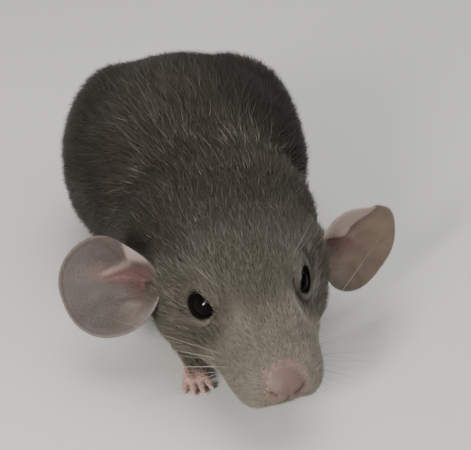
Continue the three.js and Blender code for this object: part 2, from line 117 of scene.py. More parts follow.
def ellipsoid(p: Array, centre: Sequence[float], radii: Sequence[float], lean: float = 0.0) -> Array:
    """Distance outside an ellipsoid, close to its surface.

    Args:
        p: points.
        centre: its middle.
        radii: its three radii.
        lean: degrees that it is turned about x.

    Returns:
        Distances, negative inside.
    """
    q = p - np.asarray(centre, dtype=float)
    if lean:
        c, s = math.cos(math.radians(lean)), math.sin(math.radians(lean))
        q = np.stack([q[..., 0], q[..., 1] * c + q[..., 2] * s, q[..., 2] * c - q[..., 1] * s], -1)
    r = np.asarray(radii, dtype=float)
    near = np.linalg.norm(q / r, axis=-1)
    slope = np.linalg.norm(q / (r * r), axis=-1)
    return near * (near - 1.0) / np.maximum(slope, 1e-9)


def rod(p: Array, a: Sequence[float], ra: float, b: Sequence[float], rb: float) -> Array:
    """Distance outside a round-ended rod whose radius runs from ra to rb.

    Args:
        p: points.
        a: its first end.
        ra: the radius there.
        b: its other end.
        rb: the radius there.

    Returns:
        Distances, negative inside.
    """
    start, d = np.asarray(a, dtype=float), np.asarray(b, dtype=float) - np.asarray(a, dtype=float)
    q = p - start
    t = np.clip(q @ d / (d @ d), 0.0, 1.0)
    return np.linalg.norm(q - t[..., None] * d, axis=-1) - ra - t * (rb - ra)


def soft_min(a: Array, b: Array, soft: float) -> Array:
    """Join two shapes with a rounded meeting.

    Args:
        a: the first distance.
        b: the second distance.
        soft: how far the rounding reaches.

    Returns:
        The joined distance.
    """
    h = np.maximum(soft - np.abs(a - b), 0.0)
    return np.minimum(a, b) - h * h / (4.0 * soft)


def soft_max(a: Array, b: Array, soft: float) -> Array:
    """Keep what is in both shapes, with a rounded meeting."""
    return -soft_min(-a, -b, soft)


def bump_at(p: Array, centre: Sequence[float], spread: Sequence[float]) -> Array:
    """A soft bell of height one.

    Args:
        p: points.
        centre: its middle.
        spread: its half widths.

    Returns:
        Heights from 0 to 1.
    """
    q = (p - np.asarray(centre, dtype=float)) / np.asarray(spread, dtype=float)
    return np.exp(-np.sum(q * q, axis=-1))


def to_left(p: Array) -> Array:
    """Points mirrored to the left half."""
    return np.stack([np.abs(p[..., 0]), p[..., 1], p[..., 2]], -1)


def ring_faces(rings: int, sides: int) -> Array:
    """Triangles of a tube whose rings are numbered in order, with a pole at each end.

    Args:
        rings: how many rings it has.
        sides: corners of each ring.

    Returns:
        Corner numbers; the poles come after the rings.
    """
    i = np.arange(sides)
    j = (i + 1) % sides
    faces = []
    for k in range(rings - 1):
        a, b = k * sides + i, k * sides + j
        c, d = a + sides, b + sides
        faces += [np.stack([a, b, c], -1), np.stack([b, d, c], -1)]
    last, start, end = (rings - 1) * sides, rings * sides, rings * sides + 1
    faces.append(np.stack([np.full(sides, start), j, i], -1))
    faces.append(np.stack([np.full(sides, end), last + i, last + j], -1))
    return np.concatenate(faces)


def tube(
    line: Array, radius: Array, sides: int, up: Sequence[float], flat: float = 1.0,
) -> tuple[Array, Array]:
    """A closed tube round a line.

    Args:
        line: points of its middle.
        radius: its radius at each of them.
        sides: corners of each ring.
        up: a direction that the line never takes.
        flat: its width as a share of its height.

    Returns:
        Points and triangles.
    """
    along = unit(np.gradient(line, axis=0))
    across = unit(np.cross(along, np.array(up)))
    above = np.cross(across, along)
    angle = np.arange(sides) * 2 * math.pi / sides
    ring = (
        line[:, None]
        + radius[:, None, None] * (flat * np.cos(angle))[None, :, None] * across[:, None]
        + radius[:, None, None] * np.sin(angle)[None, :, None] * above[:, None]
    )
    return np.concatenate([ring.reshape(-1, 3), line[:1], line[-1:]]), ring_faces(len(line), sides)


def gather(parts: Iterable[tuple[Array, Array]]) -> tuple[Array, Array]:
    """Put meshes side by side in one.

    Args:
        parts: points and triangles of each.

    Returns:
        All the points and all the triangles.
    """
    points, faces, count = [], [], 0
    for p, tri in parts:
        points.append(p)
        faces.append(tri + count)
        count += len(p)
    return np.concatenate(points), np.concatenate(faces)


def settle_mesh(made: bpy.types.Object) -> bpy.types.Mesh:
    """Turn what an object's modifiers make into its own plain mesh.

    Args:
        made: the object, whose modifiers are used up.

    Returns:
        The new mesh.
    """
    graph = bpy.context.evaluated_depsgraph_get()
    mesh = bpy.data.meshes.new_from_object(made.evaluated_get(graph))
    made.modifiers.clear()
    old = made.data
    made.data = mesh
    bpy.data.meshes.remove(old)
    return mesh


def discard(helpers: Iterable[bpy.types.Object], group: bpy.types.Collection) -> None:
    """Remove helper objects, their meshes and the collection that held them."""
    for helper in helpers:
        data = helper.data
        bpy.data.objects.remove(helper)
        bpy.data.meshes.remove(data)
    bpy.data.collections.remove(group)


@dataclass
class HeadFrame:
    """The head's own frame: origin between the eyes, x to the animal's left, y backwards, z up."""

    between_eyes: tuple[float, float, float] = (0.0, -42.0, 20.5)
    turn: float = 1.5
    nod: float = 6.5
    tilt: float = -4.0

    def __post_init__(self) -> None:
        """Work out the rotation."""
        turned = Matrix.Rotation(math.radians(self.turn), 3, "Z")
        nodded = Matrix.Rotation(math.radians(self.nod), 3, "X")
        tilted = Matrix.Rotation(math.radians(self.tilt), 3, "Y")
        self.rotation = np.array(turned @ nodded @ tilted)

    def place(self, p: Array) -> Array:
        """Points of the head's frame in the animal's frame."""
        return np.asarray(p, dtype=float) @ self.rotation.T + np.array(self.between_eyes)

    def local(self, p: Array) -> Array:
        """Points of the animal's frame in the head's frame."""
        return (p - np.array(self.between_eyes)) @ self.rotation

    def direction(self, v: Array) -> Array:
        """Directions of the head's frame in the animal's frame."""
        return np.asarray(v, dtype=float) @ self.rotation.T


@dataclass
class Workshop:
    """Shared helpers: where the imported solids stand, and how a mesh becomes a piece."""

    head: HeadFrame
    eye: tuple[float, float, float]
    shift: Array = field(init=False)

    def __post_init__(self) -> None:
        """Read the solids' place from the two eyeballs."""
        offsets = []
        for side in Side:
            low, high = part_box(f"eye_{side.word}")
            middle = (np.array(low) + np.array(high)) / 2 / MM
            offsets.append(middle - self.head.place(on_side(self.eye, side)))
        self.shift = np.mean(offsets, axis=0)
        self.shift[2] = 0.0

    def to_world(self, p: Array) -> Array:
        """Millimetres of the animal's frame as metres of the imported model."""
        return (np.asarray(p, dtype=float) + self.shift) * MM

    def from_world(self, p: Array) -> Array:
        """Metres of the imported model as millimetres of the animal's frame."""
        return np.asarray(p, dtype=float) / MM - self.shift

    def mesh_object(self, name: str, points: Array, faces: Array, smooth: bool = True) -> bpy.types.Object:
        """Make an object from points in millimetres.

        Args:
            name: the object's name.
            points: n by 3 points in the animal's frame.
            faces: m by 3 or m by 4 corner numbers.
            smooth: whether it is shaded smooth.

        Returns:
            The linked object.
        """
        mesh = bpy.data.meshes.new(name)
        world = self.to_world(points).astype(np.float32)
        sides = faces.shape[1]
        mesh.vertices.add(len(world))
        mesh.vertices.foreach_set("co", world.ravel())
        mesh.loops.add(faces.size)
        mesh.loops.foreach_set("vertex_index", faces.astype(np.int32).ravel())
        mesh.polygons.add(len(faces))
        mesh.polygons.foreach_set("loop_start", np.arange(0, faces.size, sides, dtype=np.int32))
        mesh.polygons.foreach_set("use_smooth", np.full(len(faces), smooth))
        mesh.update(calc_edges=True)
        mesh.validate()
        made = bpy.data.objects.new(name, mesh)
        bpy.context.scene.collection.objects.link(made)
        return made

    def points_of(self, mesh: bpy.types.Mesh) -> Array:
        """A mesh's points in millimetres of the animal's frame."""
        flat = np.empty(len(mesh.vertices) * 3, dtype=np.float32)
        mesh.vertices.foreach_get("co", flat)
        return self.from_world(flat.reshape(-1, 3))

    def finish_piece(self, piece: bpy.types.Object, slot: str) -> None:
        """Fix a piece to the animal and log how many faces it has."""
        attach(piece, "root")
        LOG.info("%s: %d faces", piece.name, len(piece.data.polygons))


@dataclass
class SurfaceNet:
    """Turns a distance field into a closed triangle mesh on a grid with its own spacing on each axis."""

    field: Shape
    xs: Array
    ys: Array
    zs: Array
    settle_steps: int = 3
    air: float = 0.5
    probe: float = 0.02
    least_slope: float = 0.2
    most_move: float = 0.6
    band: float = 2.5

    @staticmethod
    def spaced(stops: Sequence[tuple[float, float]], end: float) -> Array:
        """Grid lines along one axis.

        Args:
            stops: where each stretch starts, and the spacing in it.
            end: where the last stretch ends.

        Returns:
            The rising coordinates of the lines.
        """
        lines: list[float] = []
        for i, (start, step) in enumerate(stops):
            stop = stops[i + 1][0] if i + 1 < len(stops) else end
            count = max(2, int(round((stop - start) / step)))
            lines.extend(np.linspace(start, stop, count, endpoint=False))
        lines.append(end)
        return np.array(lines)

    def values(self) -> Array:
        """The field on the whole grid, with air along its border."""
        nx, ny, nz = len(self.xs), len(self.ys), len(self.zs)
        out = np.empty((nx, ny, nz), dtype=np.float32)
        for i, x in enumerate(self.xs):
            grid = np.empty((ny, nz, 3))
            grid[..., 0] = x
            grid[..., 1] = self.ys[:, None]
            grid[..., 2] = self.zs[None, :]
            out[i] = self.field(grid)
        for axis in range(3):
            edge = [slice(None)] * 3
            for end in (0, -1):
                edge[axis] = end
                out[tuple(edge)] = self.air
        return out

    def build(self) -> tuple[Array, Array]:
        """Make the mesh.

        Returns:
            Points, and triangles whose faces point outwards.
        """
        value = self.values()
        lines = (self.xs, self.ys, self.zs)
        cells = tuple(n - 1 for n in value.shape)
        total = np.zeros((int(np.prod(cells)), 3))
        count = np.zeros(int(np.prod(cells)))
        quads = []
        for axis in range(3):
            u, v = (axis + 1) % 3, (axis + 2) % 3
            low = [slice(None)] * 3
            high = [slice(None)] * 3
            low[axis], high[axis] = slice(0, -1), slice(1, None)
            a, b = value[tuple(low)], value[tuple(high)]
            at = np.argwhere((a < 0) != (b < 0))
            va = a[at[:, 0], at[:, 1], at[:, 2]].astype(float)
            vb = b[at[:, 0], at[:, 1], at[:, 2]].astype(float)
            point = np.stack([lines[k][at[:, k]] for k in range(3)], -1)
            gap = lines[axis][at[:, axis] + 1] - lines[axis][at[:, axis]]
            point[:, axis] += gap * va / (va - vb)
            ring = []
            for du, dv in ((-1, -1), (0, -1), (0, 0), (-1, 0)):
                cell = at.copy()
                cell[:, u] += du
                cell[:, v] += dv
                number = np.ravel_multi_index(tuple(cell.T), cells)
                np.add.at(total, number, point)
                np.add.at(count, number, 1.0)
                ring.append(number)
            quad = np.stack(ring, -1)
            quads.append(np.where((va < 0)[:, None], quad, quad[:, ::-1]))
        used = np.flatnonzero(count)
        place = np.full(len(count), -1)
        place[used] = np.arange(len(used))
        points = total[used] / count[used, None]
        points = self.settle(points)
        quad = place[np.concatenate(quads)]
        first = np.linalg.norm(points[quad[:, 0]] - points[quad[:, 2]], axis=1)
        other = np.linalg.norm(points[quad[:, 1]] - points[quad[:, 3]], axis=1)
        short = (first < other)[:, None]
        one = np.where(short, quad[:, [0, 1, 2]], quad[:, [0, 1, 3]])
        two = np.where(short, quad[:, [0, 2, 3]], quad[:, [1, 2, 3]])
        return points, np.concatenate([one, two])

    def settle(self, points: Array) -> Array:
        """Move the corners onto the field's zero surface."""
        reach = min(np.diff(self.xs).min(), np.diff(self.ys).min(), np.diff(self.zs).min())
        for _ in range(self.settle_steps):
            d = self.field(points)
            slope = np.empty_like(points)
            for k in range(3):
                step = np.zeros(3)
                step[k] = self.probe
                slope[:, k] = (self.field(points + step) - self.field(points - step)) / (2 * self.probe)
            steep = np.maximum(np.sum(slope * slope, axis=1), self.least_slope)
            move = -(d / steep)[:, None] * slope
            size = np.linalg.norm(move, axis=1, keepdims=True)
            move *= np.minimum(1.0, self.most_move * reach / np.maximum(size, 1e-9))
            near = np.abs(d) < self.band * reach
            points = points + move * near[:, None]
        return points


@dataclass
class EyeForm:
    """Where an eyeball sits in the head, and the almond that the lids leave open."""

    centre: tuple[float, float, float] = (7.0, 0.9, -0.5)
    axis: tuple[float, float, float] = (0.825, -0.465, 0.32)
    radius: float = 3.3
    half_length: float = 3.15
    half_height: float = 2.75
    lid: float = 0.16
    socket_gap: float = 0.06

    def axes(self) -> tuple[Array, Array, Array]:
        """Outward, forward along the opening, and upward, for the left eye."""
        outward = unit(np.array(self.axis))
        above = unit(np.array([0.0, 0.0, 1.0]) - outward[2] * outward)
        ahead = np.cross(above, outward)
        if ahead[1] > 0:
            ahead = -ahead
        return outward, ahead, above

    def opening(self, q: Array) -> Array:
        """How far inside the almond a point near the left eye is, in millimetres.

        Args:
            q: points of the head's frame, mirrored to the left.

        Returns:
            Positive inside the opening.
        """
        outward, ahead, above = self.axes()
        d = q - np.array(self.centre)
        u = d @ ahead / self.half_length
        v = d @ above / (self.half_height * (1.0 - 0.25 * np.clip(u, -1.0, 1.0)))
        inside = (1.0 - np.hypot(u, v)) * self.half_height
        return np.where(d @ outward > 0, inside, -9.0)


@dataclass
class EarForm:
    """One ear: a round dish on a short stalk, folded forwards along its front edge near the head."""

    side: Side
    root: tuple[float, float, float]
    out: tuple[float, float, float]
    up: tuple[float, float, float]
    dish: tuple[float, float]
    head: HeadFrame
    outline: tuple[float, ...]
    fold: float
    lean: float
    roll: tuple[float, float, float, float, float]
    ridge: float
    radius: float = 8.7
    cup: float = 1.5
    pit: float = 2.6
    fold_angle: float = 122.0
    root_thickness: float = 1.2
    rim_thickness: float = 0.5
    edge_share: float = 0.55
    edge_round: float = 0.12

    def __post_init__(self) -> None:
        """Square up the ear's axes."""
        self.outward = unit(np.array(self.out))
        upward = np.array(self.up)
        self.upward = unit(upward - upward @ self.outward * self.outward)
        self.facing = np.cross(self.outward, self.upward) * self.side.value
        self.foot = self.head.place(np.array(self.root))

    def rim(self, angle: Array) -> Array:
        """Distance of the rim from the middle of the dish."""
        n = len(self.outline)
        place = np.mod(angle / (2 * math.pi) * n, n)
        i = np.floor(place).astype(int)
        t = place - i
        a, b, c, d = (np.array(self.outline)[(i + k) % n] for k in (-1, 0, 1, 2))
        return b + 0.5 * t * (c - a + t * (2 * a - 5 * b + 4 * c - d + t * (3 * (b - c) + d - a)))

    def sheet(self, s: Array, angle: Array) -> Array:
        """The middle of the ear's thickness.

        Args:
            s: 0 in the middle of the dish, 1 at the rim.
            angle: from out towards up, in radians.

        Returns:
            Points in the animal's frame.
        """
        aside = np.abs(angle - math.radians(self.fold_angle))
        folded = np.exp(-((aside / 0.62) ** 2)) * ease(s, 0.45, 1.0)
        far = s * self.rim(angle) * (1 - 0.08 * folded)
        a = self.dish[0] + far * np.cos(angle)
        b = self.dish[1] + far * np.sin(angle)
        deep = -self.pit * np.exp(-(a * a + b * b) / 8)
        ridge = 0.6 * self.ridge * self.ridge_at(a, b)
        ridge += 0.4 * np.exp(-(((b + 3.3 + 0.1 * a) / 0.5) ** 2)) * ease(a, -0.5, 1.0) * ease(a, 5.5, 2.5)
        trough = -0.5 * bump_at(np.stack([a, b], -1), (4.4, 1.0), (3.8, 1.3))
        curl = -0.5 * ease(s, 0.86, 1.0) * (1 - folded)
        wave = 0.14 * np.sin(angle * 5 + 1.0) * ease(s, 0.35, 1.0)
        flat = 1 - self.lean * np.exp(-(((angle - math.radians(150)) / 0.75) ** 2))
        rise = deep + self.fold * folded + flat * self.cup * (far / self.radius) ** 2
        rise += ridge + trough + curl * flat + wave + 0.8 * ease(self.rolled(a, b), -0.3, 1.0)
        return (
            self.foot
            + a[..., None] * self.outward
            + b[..., None] * self.upward
            + rise[..., None] * self.facing
        )

    def ridge_at(self, a: Array, b: Array) -> Array:
        """The long ridge above the ear's canal, from 0 to 1, by distances from the root."""
        off = b - 4.75 + 0.43 * a
        return np.exp(-((off / 0.75) ** 2)) * ease(a, 0.5, 2.5) * ease(a, 11.0, 6.5)

    def rolled(self, a: Array, b: Array) -> Array:
        """How far inside the rolled front edge a place is, by distances from the root."""
        c, d = a - self.dish[0], b - self.dish[1]
        level, slope, side, turn, firm = self.roll
        return firm * np.minimum(d - level - slope * (c + 9.4), side + turn * np.maximum(d - 4.8, 0.0) - c)

    def light(self, a: Array, b: Array) -> Array:
        """How much painted highlight the rim, the roll and the ridges get, from 0 to 1.

        Args:
            a: distances outwards from the root.
            b: distances upwards from it.

        Returns:
            Amounts of the painted highlight.
        """
        c, d = a - self.dish[0], b - self.dish[1]
        far = np.hypot(c, d)
        edge = self.rim(np.arctan2(d, c))
        rim = 0.4 * ease(far, edge - 0.65, edge - 0.15)
        roll = 0.9 * ease(self.rolled(a, b), -0.1, 0.7)
        ridge = 0.5 * self.ridge * self.ridge_at(a, b)
        lobe = 0.22 * np.exp(-((c + 6.2) ** 2 + (d + 4.0) ** 2) / 9.0)
        return np.clip(np.maximum(rim, np.maximum(roll, np.maximum(ridge, lobe))), 0.0, 1.0)

    def crease(self, a: Array, b: Array) -> Array:
        """Painted shade along the crease under the rolled edge, from 0 to 1."""
        return self.roll[4] ** 3 * np.exp(-(((self.rolled(a, b) + 0.35) / 0.3) ** 2)) * ease(a, 8.5, 6.0)

    def holds(self, p: Array) -> Array:
        """Tell which points belong to the ear's sheet."""
        a, b, w = self.local(p)
        a, b = a - self.dish[0], b - self.dish[1]
        return (np.abs(w) < 7) & (np.hypot(a, b) < self.rim(np.arctan2(b, a)) + 0.8)

    def build(self, rings: int = 30, spokes: int = 96) -> tuple[Array, Array]:
        """The closed skin of the ear.

        Args:
            rings: steps from the middle to the rim.
            spokes: steps round it.

        Returns:
            Points and triangles.
        """
        steps = np.linspace(0, 1, rings + 1)[1:]
        angles = np.arange(spokes) * 2 * math.pi / spokes
        s, angle = np.meshgrid(steps, angles, indexing="ij")
        middle = self.sheet(s, angle)
        normal = unit(
            np.cross(self.sheet(s + 0.01, angle) - middle, self.sheet(s, angle + 0.01) - middle)
        )
        if np.sum(normal @ self.facing) < 0:
            normal = -normal
        thick = self.root_thickness + (self.rim_thickness - self.root_thickness) * s
        thick = thick * np.where(s > 0.999, self.edge_share, 1.0)
        faces, sheets = [], []
        for sign in (0.5, -0.5):
            sheets.append((middle + sign * thick[..., None] * normal).reshape(-1, 3))
        count = rings * spokes
        rim_edge = self.sheet(np.full(spokes, 1.0), angles)
        rim_edge = rim_edge + unit(rim_edge - self.sheet(np.full(spokes, 0.97), angles)) * self.edge_round
        centre = self.sheet(np.zeros(1), np.zeros(1))
        pole = np.concatenate([
            centre + 0.5 * self.root_thickness * self.facing,
            centre - 0.5 * self.root_thickness * self.facing,
        ])
        points = np.concatenate([sheets[0], sheets[1], rim_edge, pole])
        i = np.arange(spokes)
        j = (i + 1) % spokes
        flip = self.side is Side.RIGHT
        for k in (0, 1):
            base = k * count
            turn = (k == 1) != flip
            for ring in range(rings - 1):
                a, b = base + ring * spokes + i, base + ring * spokes + j
                c, d = a + spokes, b + spokes
                pair = [np.stack([a, c, b], -1), np.stack([b, c, d], -1)]
                faces += [tri[:, ::-1] if turn else tri for tri in pair]
            cap = np.stack([np.full(spokes, 2 * count + spokes + k), base + i, base + j], -1)
            faces.append(cap[:, ::-1] if turn else cap)
            last = base + (rings - 1) * spokes
            edge = 2 * count
            pair = [np.stack([last + i, edge + i, last + j], -1), np.stack([last + j, edge + i, edge + j], -1)]
            faces += [tri[:, ::-1] if turn else tri for tri in pair]
        return points, np.concatenate(faces)

    def local(self, p: Array) -> tuple[Array, Array, Array]:
        """Places in the ear's own axes, from its root."""
        q = p - self.foot
        return q @ self.outward, q @ self.upward, q @ self.facing


@dataclass
class Anatomy:
    """The rat's outer form as distance fields, and the depth of its coat."""

    head: HeadFrame = field(default_factory=HeadFrame)
    eye: EyeForm = field(default_factory=EyeForm)
    nose: tuple[float, float, float] = (0.0, -16.6, -4.9)
    orbit_radius: float = 9.0
    orbit_floor: float = 0.6
    mouth_front: tuple[float, float] = (-16.4, -8.9)
    mouth_corner: tuple[float, float] = (-6.5, -10.4)

    def __post_init__(self) -> None:
        """Set up the two ears."""
        self.ears = [
            EarForm(Side.LEFT, (17.8, 9.4, -3.0), (0.846, 0.307, -0.423), (0.373, 0.201, 0.893),
                    (9.6, 0.0), self.head,
                    (8.1, 8.4, 8.9, 9.8, 11.4, 13.7, 13.4, 10.4, 9.1, 8.7, 8.3, 8.1), 0.9, 0.95,
                    (0.8, 0.53, -6.3, 0.75, 1.0), 0.3),
            EarForm(Side.RIGHT, (-16.6, 9.6, -1.6), (-0.836, 0.528, -0.127), (0.202, 0.523, 0.827),
                    (7.7, -0.8), self.head,
                    (8.9, 9.0, 8.9, 9.1, 9.8, 10.9, 11.1, 10.4, 9.5, 9.2, 8.9, 8.7), 2.6, 0.0,
                    (4.3, 0.0, -4.7, 0.1, 0.6), 1.0),
        ]

    def skull(self, q: Array) -> Array:
        """The head without its lids.

        Args:
            q: points of the head's frame.

        Returns:
            Distances outside the head.
        """
        m = to_left(q)
        d = ellipsoid(q, (0, 10.5, -1.2), (12.4, 13.0, 10.2))
        d = soft_min(d, ellipsoid(q, (0, -1.0, -0.9), (7.4, 11.5, 6.8), -8), 5)
        d = soft_min(d, rod(q, (0, 1.0, -3.4), 7.8, (0, -12.0, -6.0), 5.5), 5)
        d = soft_min(d, rod(q, (0, 6.0, -10.0), 6.6, (0, -10.8, -10.6), 3.2), 4)
        d = soft_min(d, ellipsoid(q, (0, -13.4, -10.4), (2.7, 2.4, 1.7)), 1.5)
        d = soft_min(d, ellipsoid(m, (8.8, 7.5, -7.8), (6.9, 9.8, 7.2)), 6)
        d = soft_min(d, ellipsoid(m, (5.4, -3.0, -6.8), (4.4, 7.5, 5.2)), 4)
        d = soft_min(d, ellipsoid(m, (4.0, -11.8, -6.8), (4.1, 6.0, 4.2)), 3)
        d = soft_min(d, ellipsoid(m, (12.6, 9.8, -2.2), (4.4, 4.6, 5.0)), 4)
        d = soft_min(d, ellipsoid(q, self.nose, (2.7, 2.5, 2.5)), 1.6)
        floor = np.array(self.eye.centre) + np.array(self.eye.axis) * (self.orbit_floor + self.orbit_radius)
        orbit = np.linalg.norm(m - floor, axis=-1) - self.orbit_radius
        return soft_max(d, -orbit, 2.4)

    def mouth_height(self, q: Array) -> Array:
        """Height above the mouth's plane, in the head's frame."""
        y0, z0 = self.mouth_front
        y1, z1 = self.mouth_corner
        along = (q[..., 1] - y0) / (y1 - y0)
        return q[..., 2] - (z0 + (z1 - z0) * along) + 0.035 * q[..., 0] ** 2

    def face(self, q: Array) -> Array:
        """Nose, lips and the line of the mouth, as depths added to the head's distance.

        Args:
            q: points of the head's frame.

        Returns:
            Millimetres inwards; negative where the skin stands out.
        """
        m = to_left(q)
        x, y, z = self.nose
        deep = bump_at(m, (1.6, y - 1.75, z - 0.5), (0.6, 0.9, 0.42))
        deep += 0.75 * bump_at(m, (2.25, y - 0.9, z - 0.1), (0.5, 0.9, 0.32))
        deep -= 0.4 * bump_at(m, (1.6, y - 1.6, z + 0.65), (1.0, 1.0, 0.55))
        deep -= 0.3 * bump_at(m, (1.1, y - 1.7, z - 1.45), (0.8, 1.0, 0.5))
        below = ease(q[..., 2], z - 0.6, z - 1.4) * ease(q[..., 1], y + 3.5, y + 1.0)
        deep += 0.55 * np.exp(-((q[..., 0] / 0.32) ** 2)) * below * ease(self.mouth_height(q), -0.4, 0.2)
        deep += 0.22 * np.exp(-((q[..., 0] / 0.3) ** 2)) * bump_at(q, (0, y - 2.0, z), (9, 1.6, 2.6))
        line = np.exp(-((self.mouth_height(q) / 0.36) ** 2)) * ease(q[..., 1], -5.6, -7.4)
        deep += 0.75 * line
        lip = np.exp(-(((self.mouth_height(q) - 1.0) / 0.7) ** 2)) * ease(q[..., 1], -6.5, -9.5)
        return deep - 0.22 * lip

    def coat_depth(self, p: Array, q: Array) -> Array:
        """How far the skin lies under the tips of the coat.

        Args:
            p: points of the animal's frame.
            q: the same points in the head's frame.

        Returns:
            Millimetres.
        """
        back = ease(q[..., 1], -14.0, 2.0)
        depth = 0.2 + 0.45 * back + 0.6 * ease(q[..., 1], 0.0, 12.0) + 1.1 * ease(p[..., 1], -32.0, -10.0)
        depth += 0.9 * ease(-p[..., 0], 12.0, 22.0) * ease(p[..., 1], -18.0, -4.0)
        depth -= 0.9 * ease(p[..., 0], 12.0, 22.0) * ease(p[..., 1], -24.0, -12.0)
        near_nose = bump_at(q, self.nose, (3.4, 3.0, 3.2))
        m = to_left(q)
        near_eye = bump_at(m, self.eye.centre, (5.0, 5.0, 5.0))
        depth = depth * (1 - near_nose) * (1 - 0.65 * near_eye)
        return depth * ease(p[..., 2], 0.0, 4.0)

    def skin_head(self, p: Array) -> Array:
        """Distance outside the head's skin."""
        q = self.head.local(p)
        m = to_left(q)
        d = self.skull(q) + self.coat_depth(p, q) + self.face(q)
        eye = self.eye
        deep = np.linalg.norm(m - np.array(eye.centre), axis=-1)
        lids = np.maximum(deep - (eye.radius + eye.lid), eye.opening(m))
        d = soft_min(d, lids, 0.5)
        return np.maximum(d, -(deep - (eye.radius - eye.socket_gap)))

    def body(self, p: Array) -> Array:
        """Distance outside the trunk and thighs, at the coat's tips."""
        m = to_left(p)
        d = ellipsoid(p, (-1.5, 6, 20.8), (24.3, 25.5, 21.2))
        d = soft_min(d, ellipsoid(p, (-1, 1, 24.5), (19.5, 18, 19.0)), 6)
        d = soft_min(d, ellipsoid(p, (0, -12, 18.6), (18.0, 16, 16.4)), 7)
        d = soft_min(d, rod(p, (0.5, -21, 20.2), 15.4, (0, -33, 19.0), 12.0), 5)
        d = soft_min(d, ellipsoid(m, (8.5, -22, 15.5), (10.3, 10.5, 14.5)), 6)
        d = soft_min(d, ellipsoid(m, (12.5, 13, 19.5), (13.0, 17, 19.0)), 5)
        d = soft_min(d, ellipsoid(m, (15.0, 11, 13.0), (9.5, 13.5, 13.0)), 6)
        return soft_min(d, rod(p, (-1, 22, 13), 10, (-1.5, 32, 6.5), 3.1), 6)

    def canals(self, p: Array, d: Array) -> Array:
        """Hollow the head in front of each ear's root."""
        for ear in self.ears:
            d = soft_max(d, -(np.linalg.norm(p - ear.foot - 2.2 * ear.facing, axis=-1) - 3.4), 1.2)
        return d

    def skin(self, p: Array) -> Array:
        """Distance outside the skin of head and trunk, down to the floor."""
        q = self.head.local(p)
        trunk = self.body(p) + self.coat_depth(p, q)
        return self.canals(p, soft_min(self.skin_head(p), trunk, 5))

    def fore_net(self, p: Array) -> Array:
        """The skin as the head's net takes it, a little lean where the trunk's net goes on."""
        return np.maximum(self.skin(p) + 0.35 * ease(p[..., 1], -25.5, -23.5), -p[..., 2])

    def hind_net(self, p: Array) -> Array:
        """The skin as the trunk's net takes it, a little lean where the head's net goes on."""
        return np.maximum(self.skin(p) + 0.35 * ease(p[..., 1], -24.0, -26.0), -p[..., 2])


@dataclass
class FootForm:
    """One foot with its limb above it, as a distance field."""

    side: Side
    heel: tuple[float, float, float]
    ball: tuple[float, float, float]
    toes: int
    toe_length: float
    toe_radius: float
    fan: float
    half_width: float
    limb: tuple[tuple[float, float, float, float], ...]
    margin: float = 4.5
    front_margin: float = 1.2

    def digits(self) -> list[list[Array]]:
        """The joints of each toe, from its root to the claw's tip.

        Returns:
            For each toe, five points in the animal's frame, left side.
        """
        heel, ball = np.array(self.heel), np.array(self.ball)
        heading = math.atan2(ball[0] - heel[0], heel[1] - ball[1])
        out = []
        r = self.toe_radius
        for i in range(self.toes):
            across = i / (self.toes - 1) * 2 - 1
            way = heading + math.radians(across * self.fan)
            reach = self.toe_length * (1 - 0.22 * across * across)
            root = across * (self.half_width - r * 0.7)
            start = ball[:2] + np.array([math.cos(heading), math.sin(heading)]) * root
            toe = []
            for far, height in ((-0.15, 1.25), (0.35, 1.6), (0.72, 1.05), (0.98, 1.0), (1.3, 0.55)):
                flat = start + np.array([math.sin(way), -math.cos(way)]) * far * reach
                toe.append(np.array([flat[0], flat[1], height * r]))
            out.append(toe)
        return out

    def field(self, p: Array) -> Array:
        """Distance outside the foot and its limb."""
        m = np.stack([p[..., 0] * self.side.value, p[..., 1], p[..., 2]], -1)
        heel, ball = np.array(self.heel), np.array(self.ball)
        aside = np.array([self.half_width * 0.42, 0, 0])
        front = ball + np.array([0, -0.5, -0.2])
        d = rod(m, heel, 1.5, front + aside, 1.35)
        d = soft_min(d, rod(m, heel, 1.5, front - aside, 1.35), 0.8)
        for a, b in zip(self.limb[:-1], self.limb[1:]):
            d = soft_min(d, rod(m, a[:3], a[3], b[:3], b[3]), 1.5)
        r = self.toe_radius
        for toe in self.digits():
            one = rod(m, toe[0], r * 1.05, toe[1], r * 0.82)
            one = soft_min(one, rod(m, toe[1], r * 0.8, toe[2], r * 0.78), 0.35)
            one = soft_min(one, rod(m, toe[2], r * 0.95, toe[3], r * 0.72), 0.3)
            d = soft_min(d, one, 0.3)
        return np.maximum(d, -p[..., 2])

    def build(self, step: float) -> tuple[Array, Array]:
        """Polygonise the foot.

        Args:
            step: spacing of the grid.

        Returns:
            Points and triangles.
        """
        joints = np.array([j for toe in self.digits() for j in toe] + [s[:3] for s in self.limb])
        low = joints.min(axis=0) - self.margin
        high = joints.max(axis=0) + self.margin
        low[1] = joints[:, 1].min() - self.front_margin
        if self.side is Side.RIGHT:
            low[0], high[0] = -high[0], -low[0]
        low[2] = -2 * step
        axes = [np.arange(a, b + step, step) for a, b in zip(low, high)]
        return SurfaceNet(self.field, *axes).build()


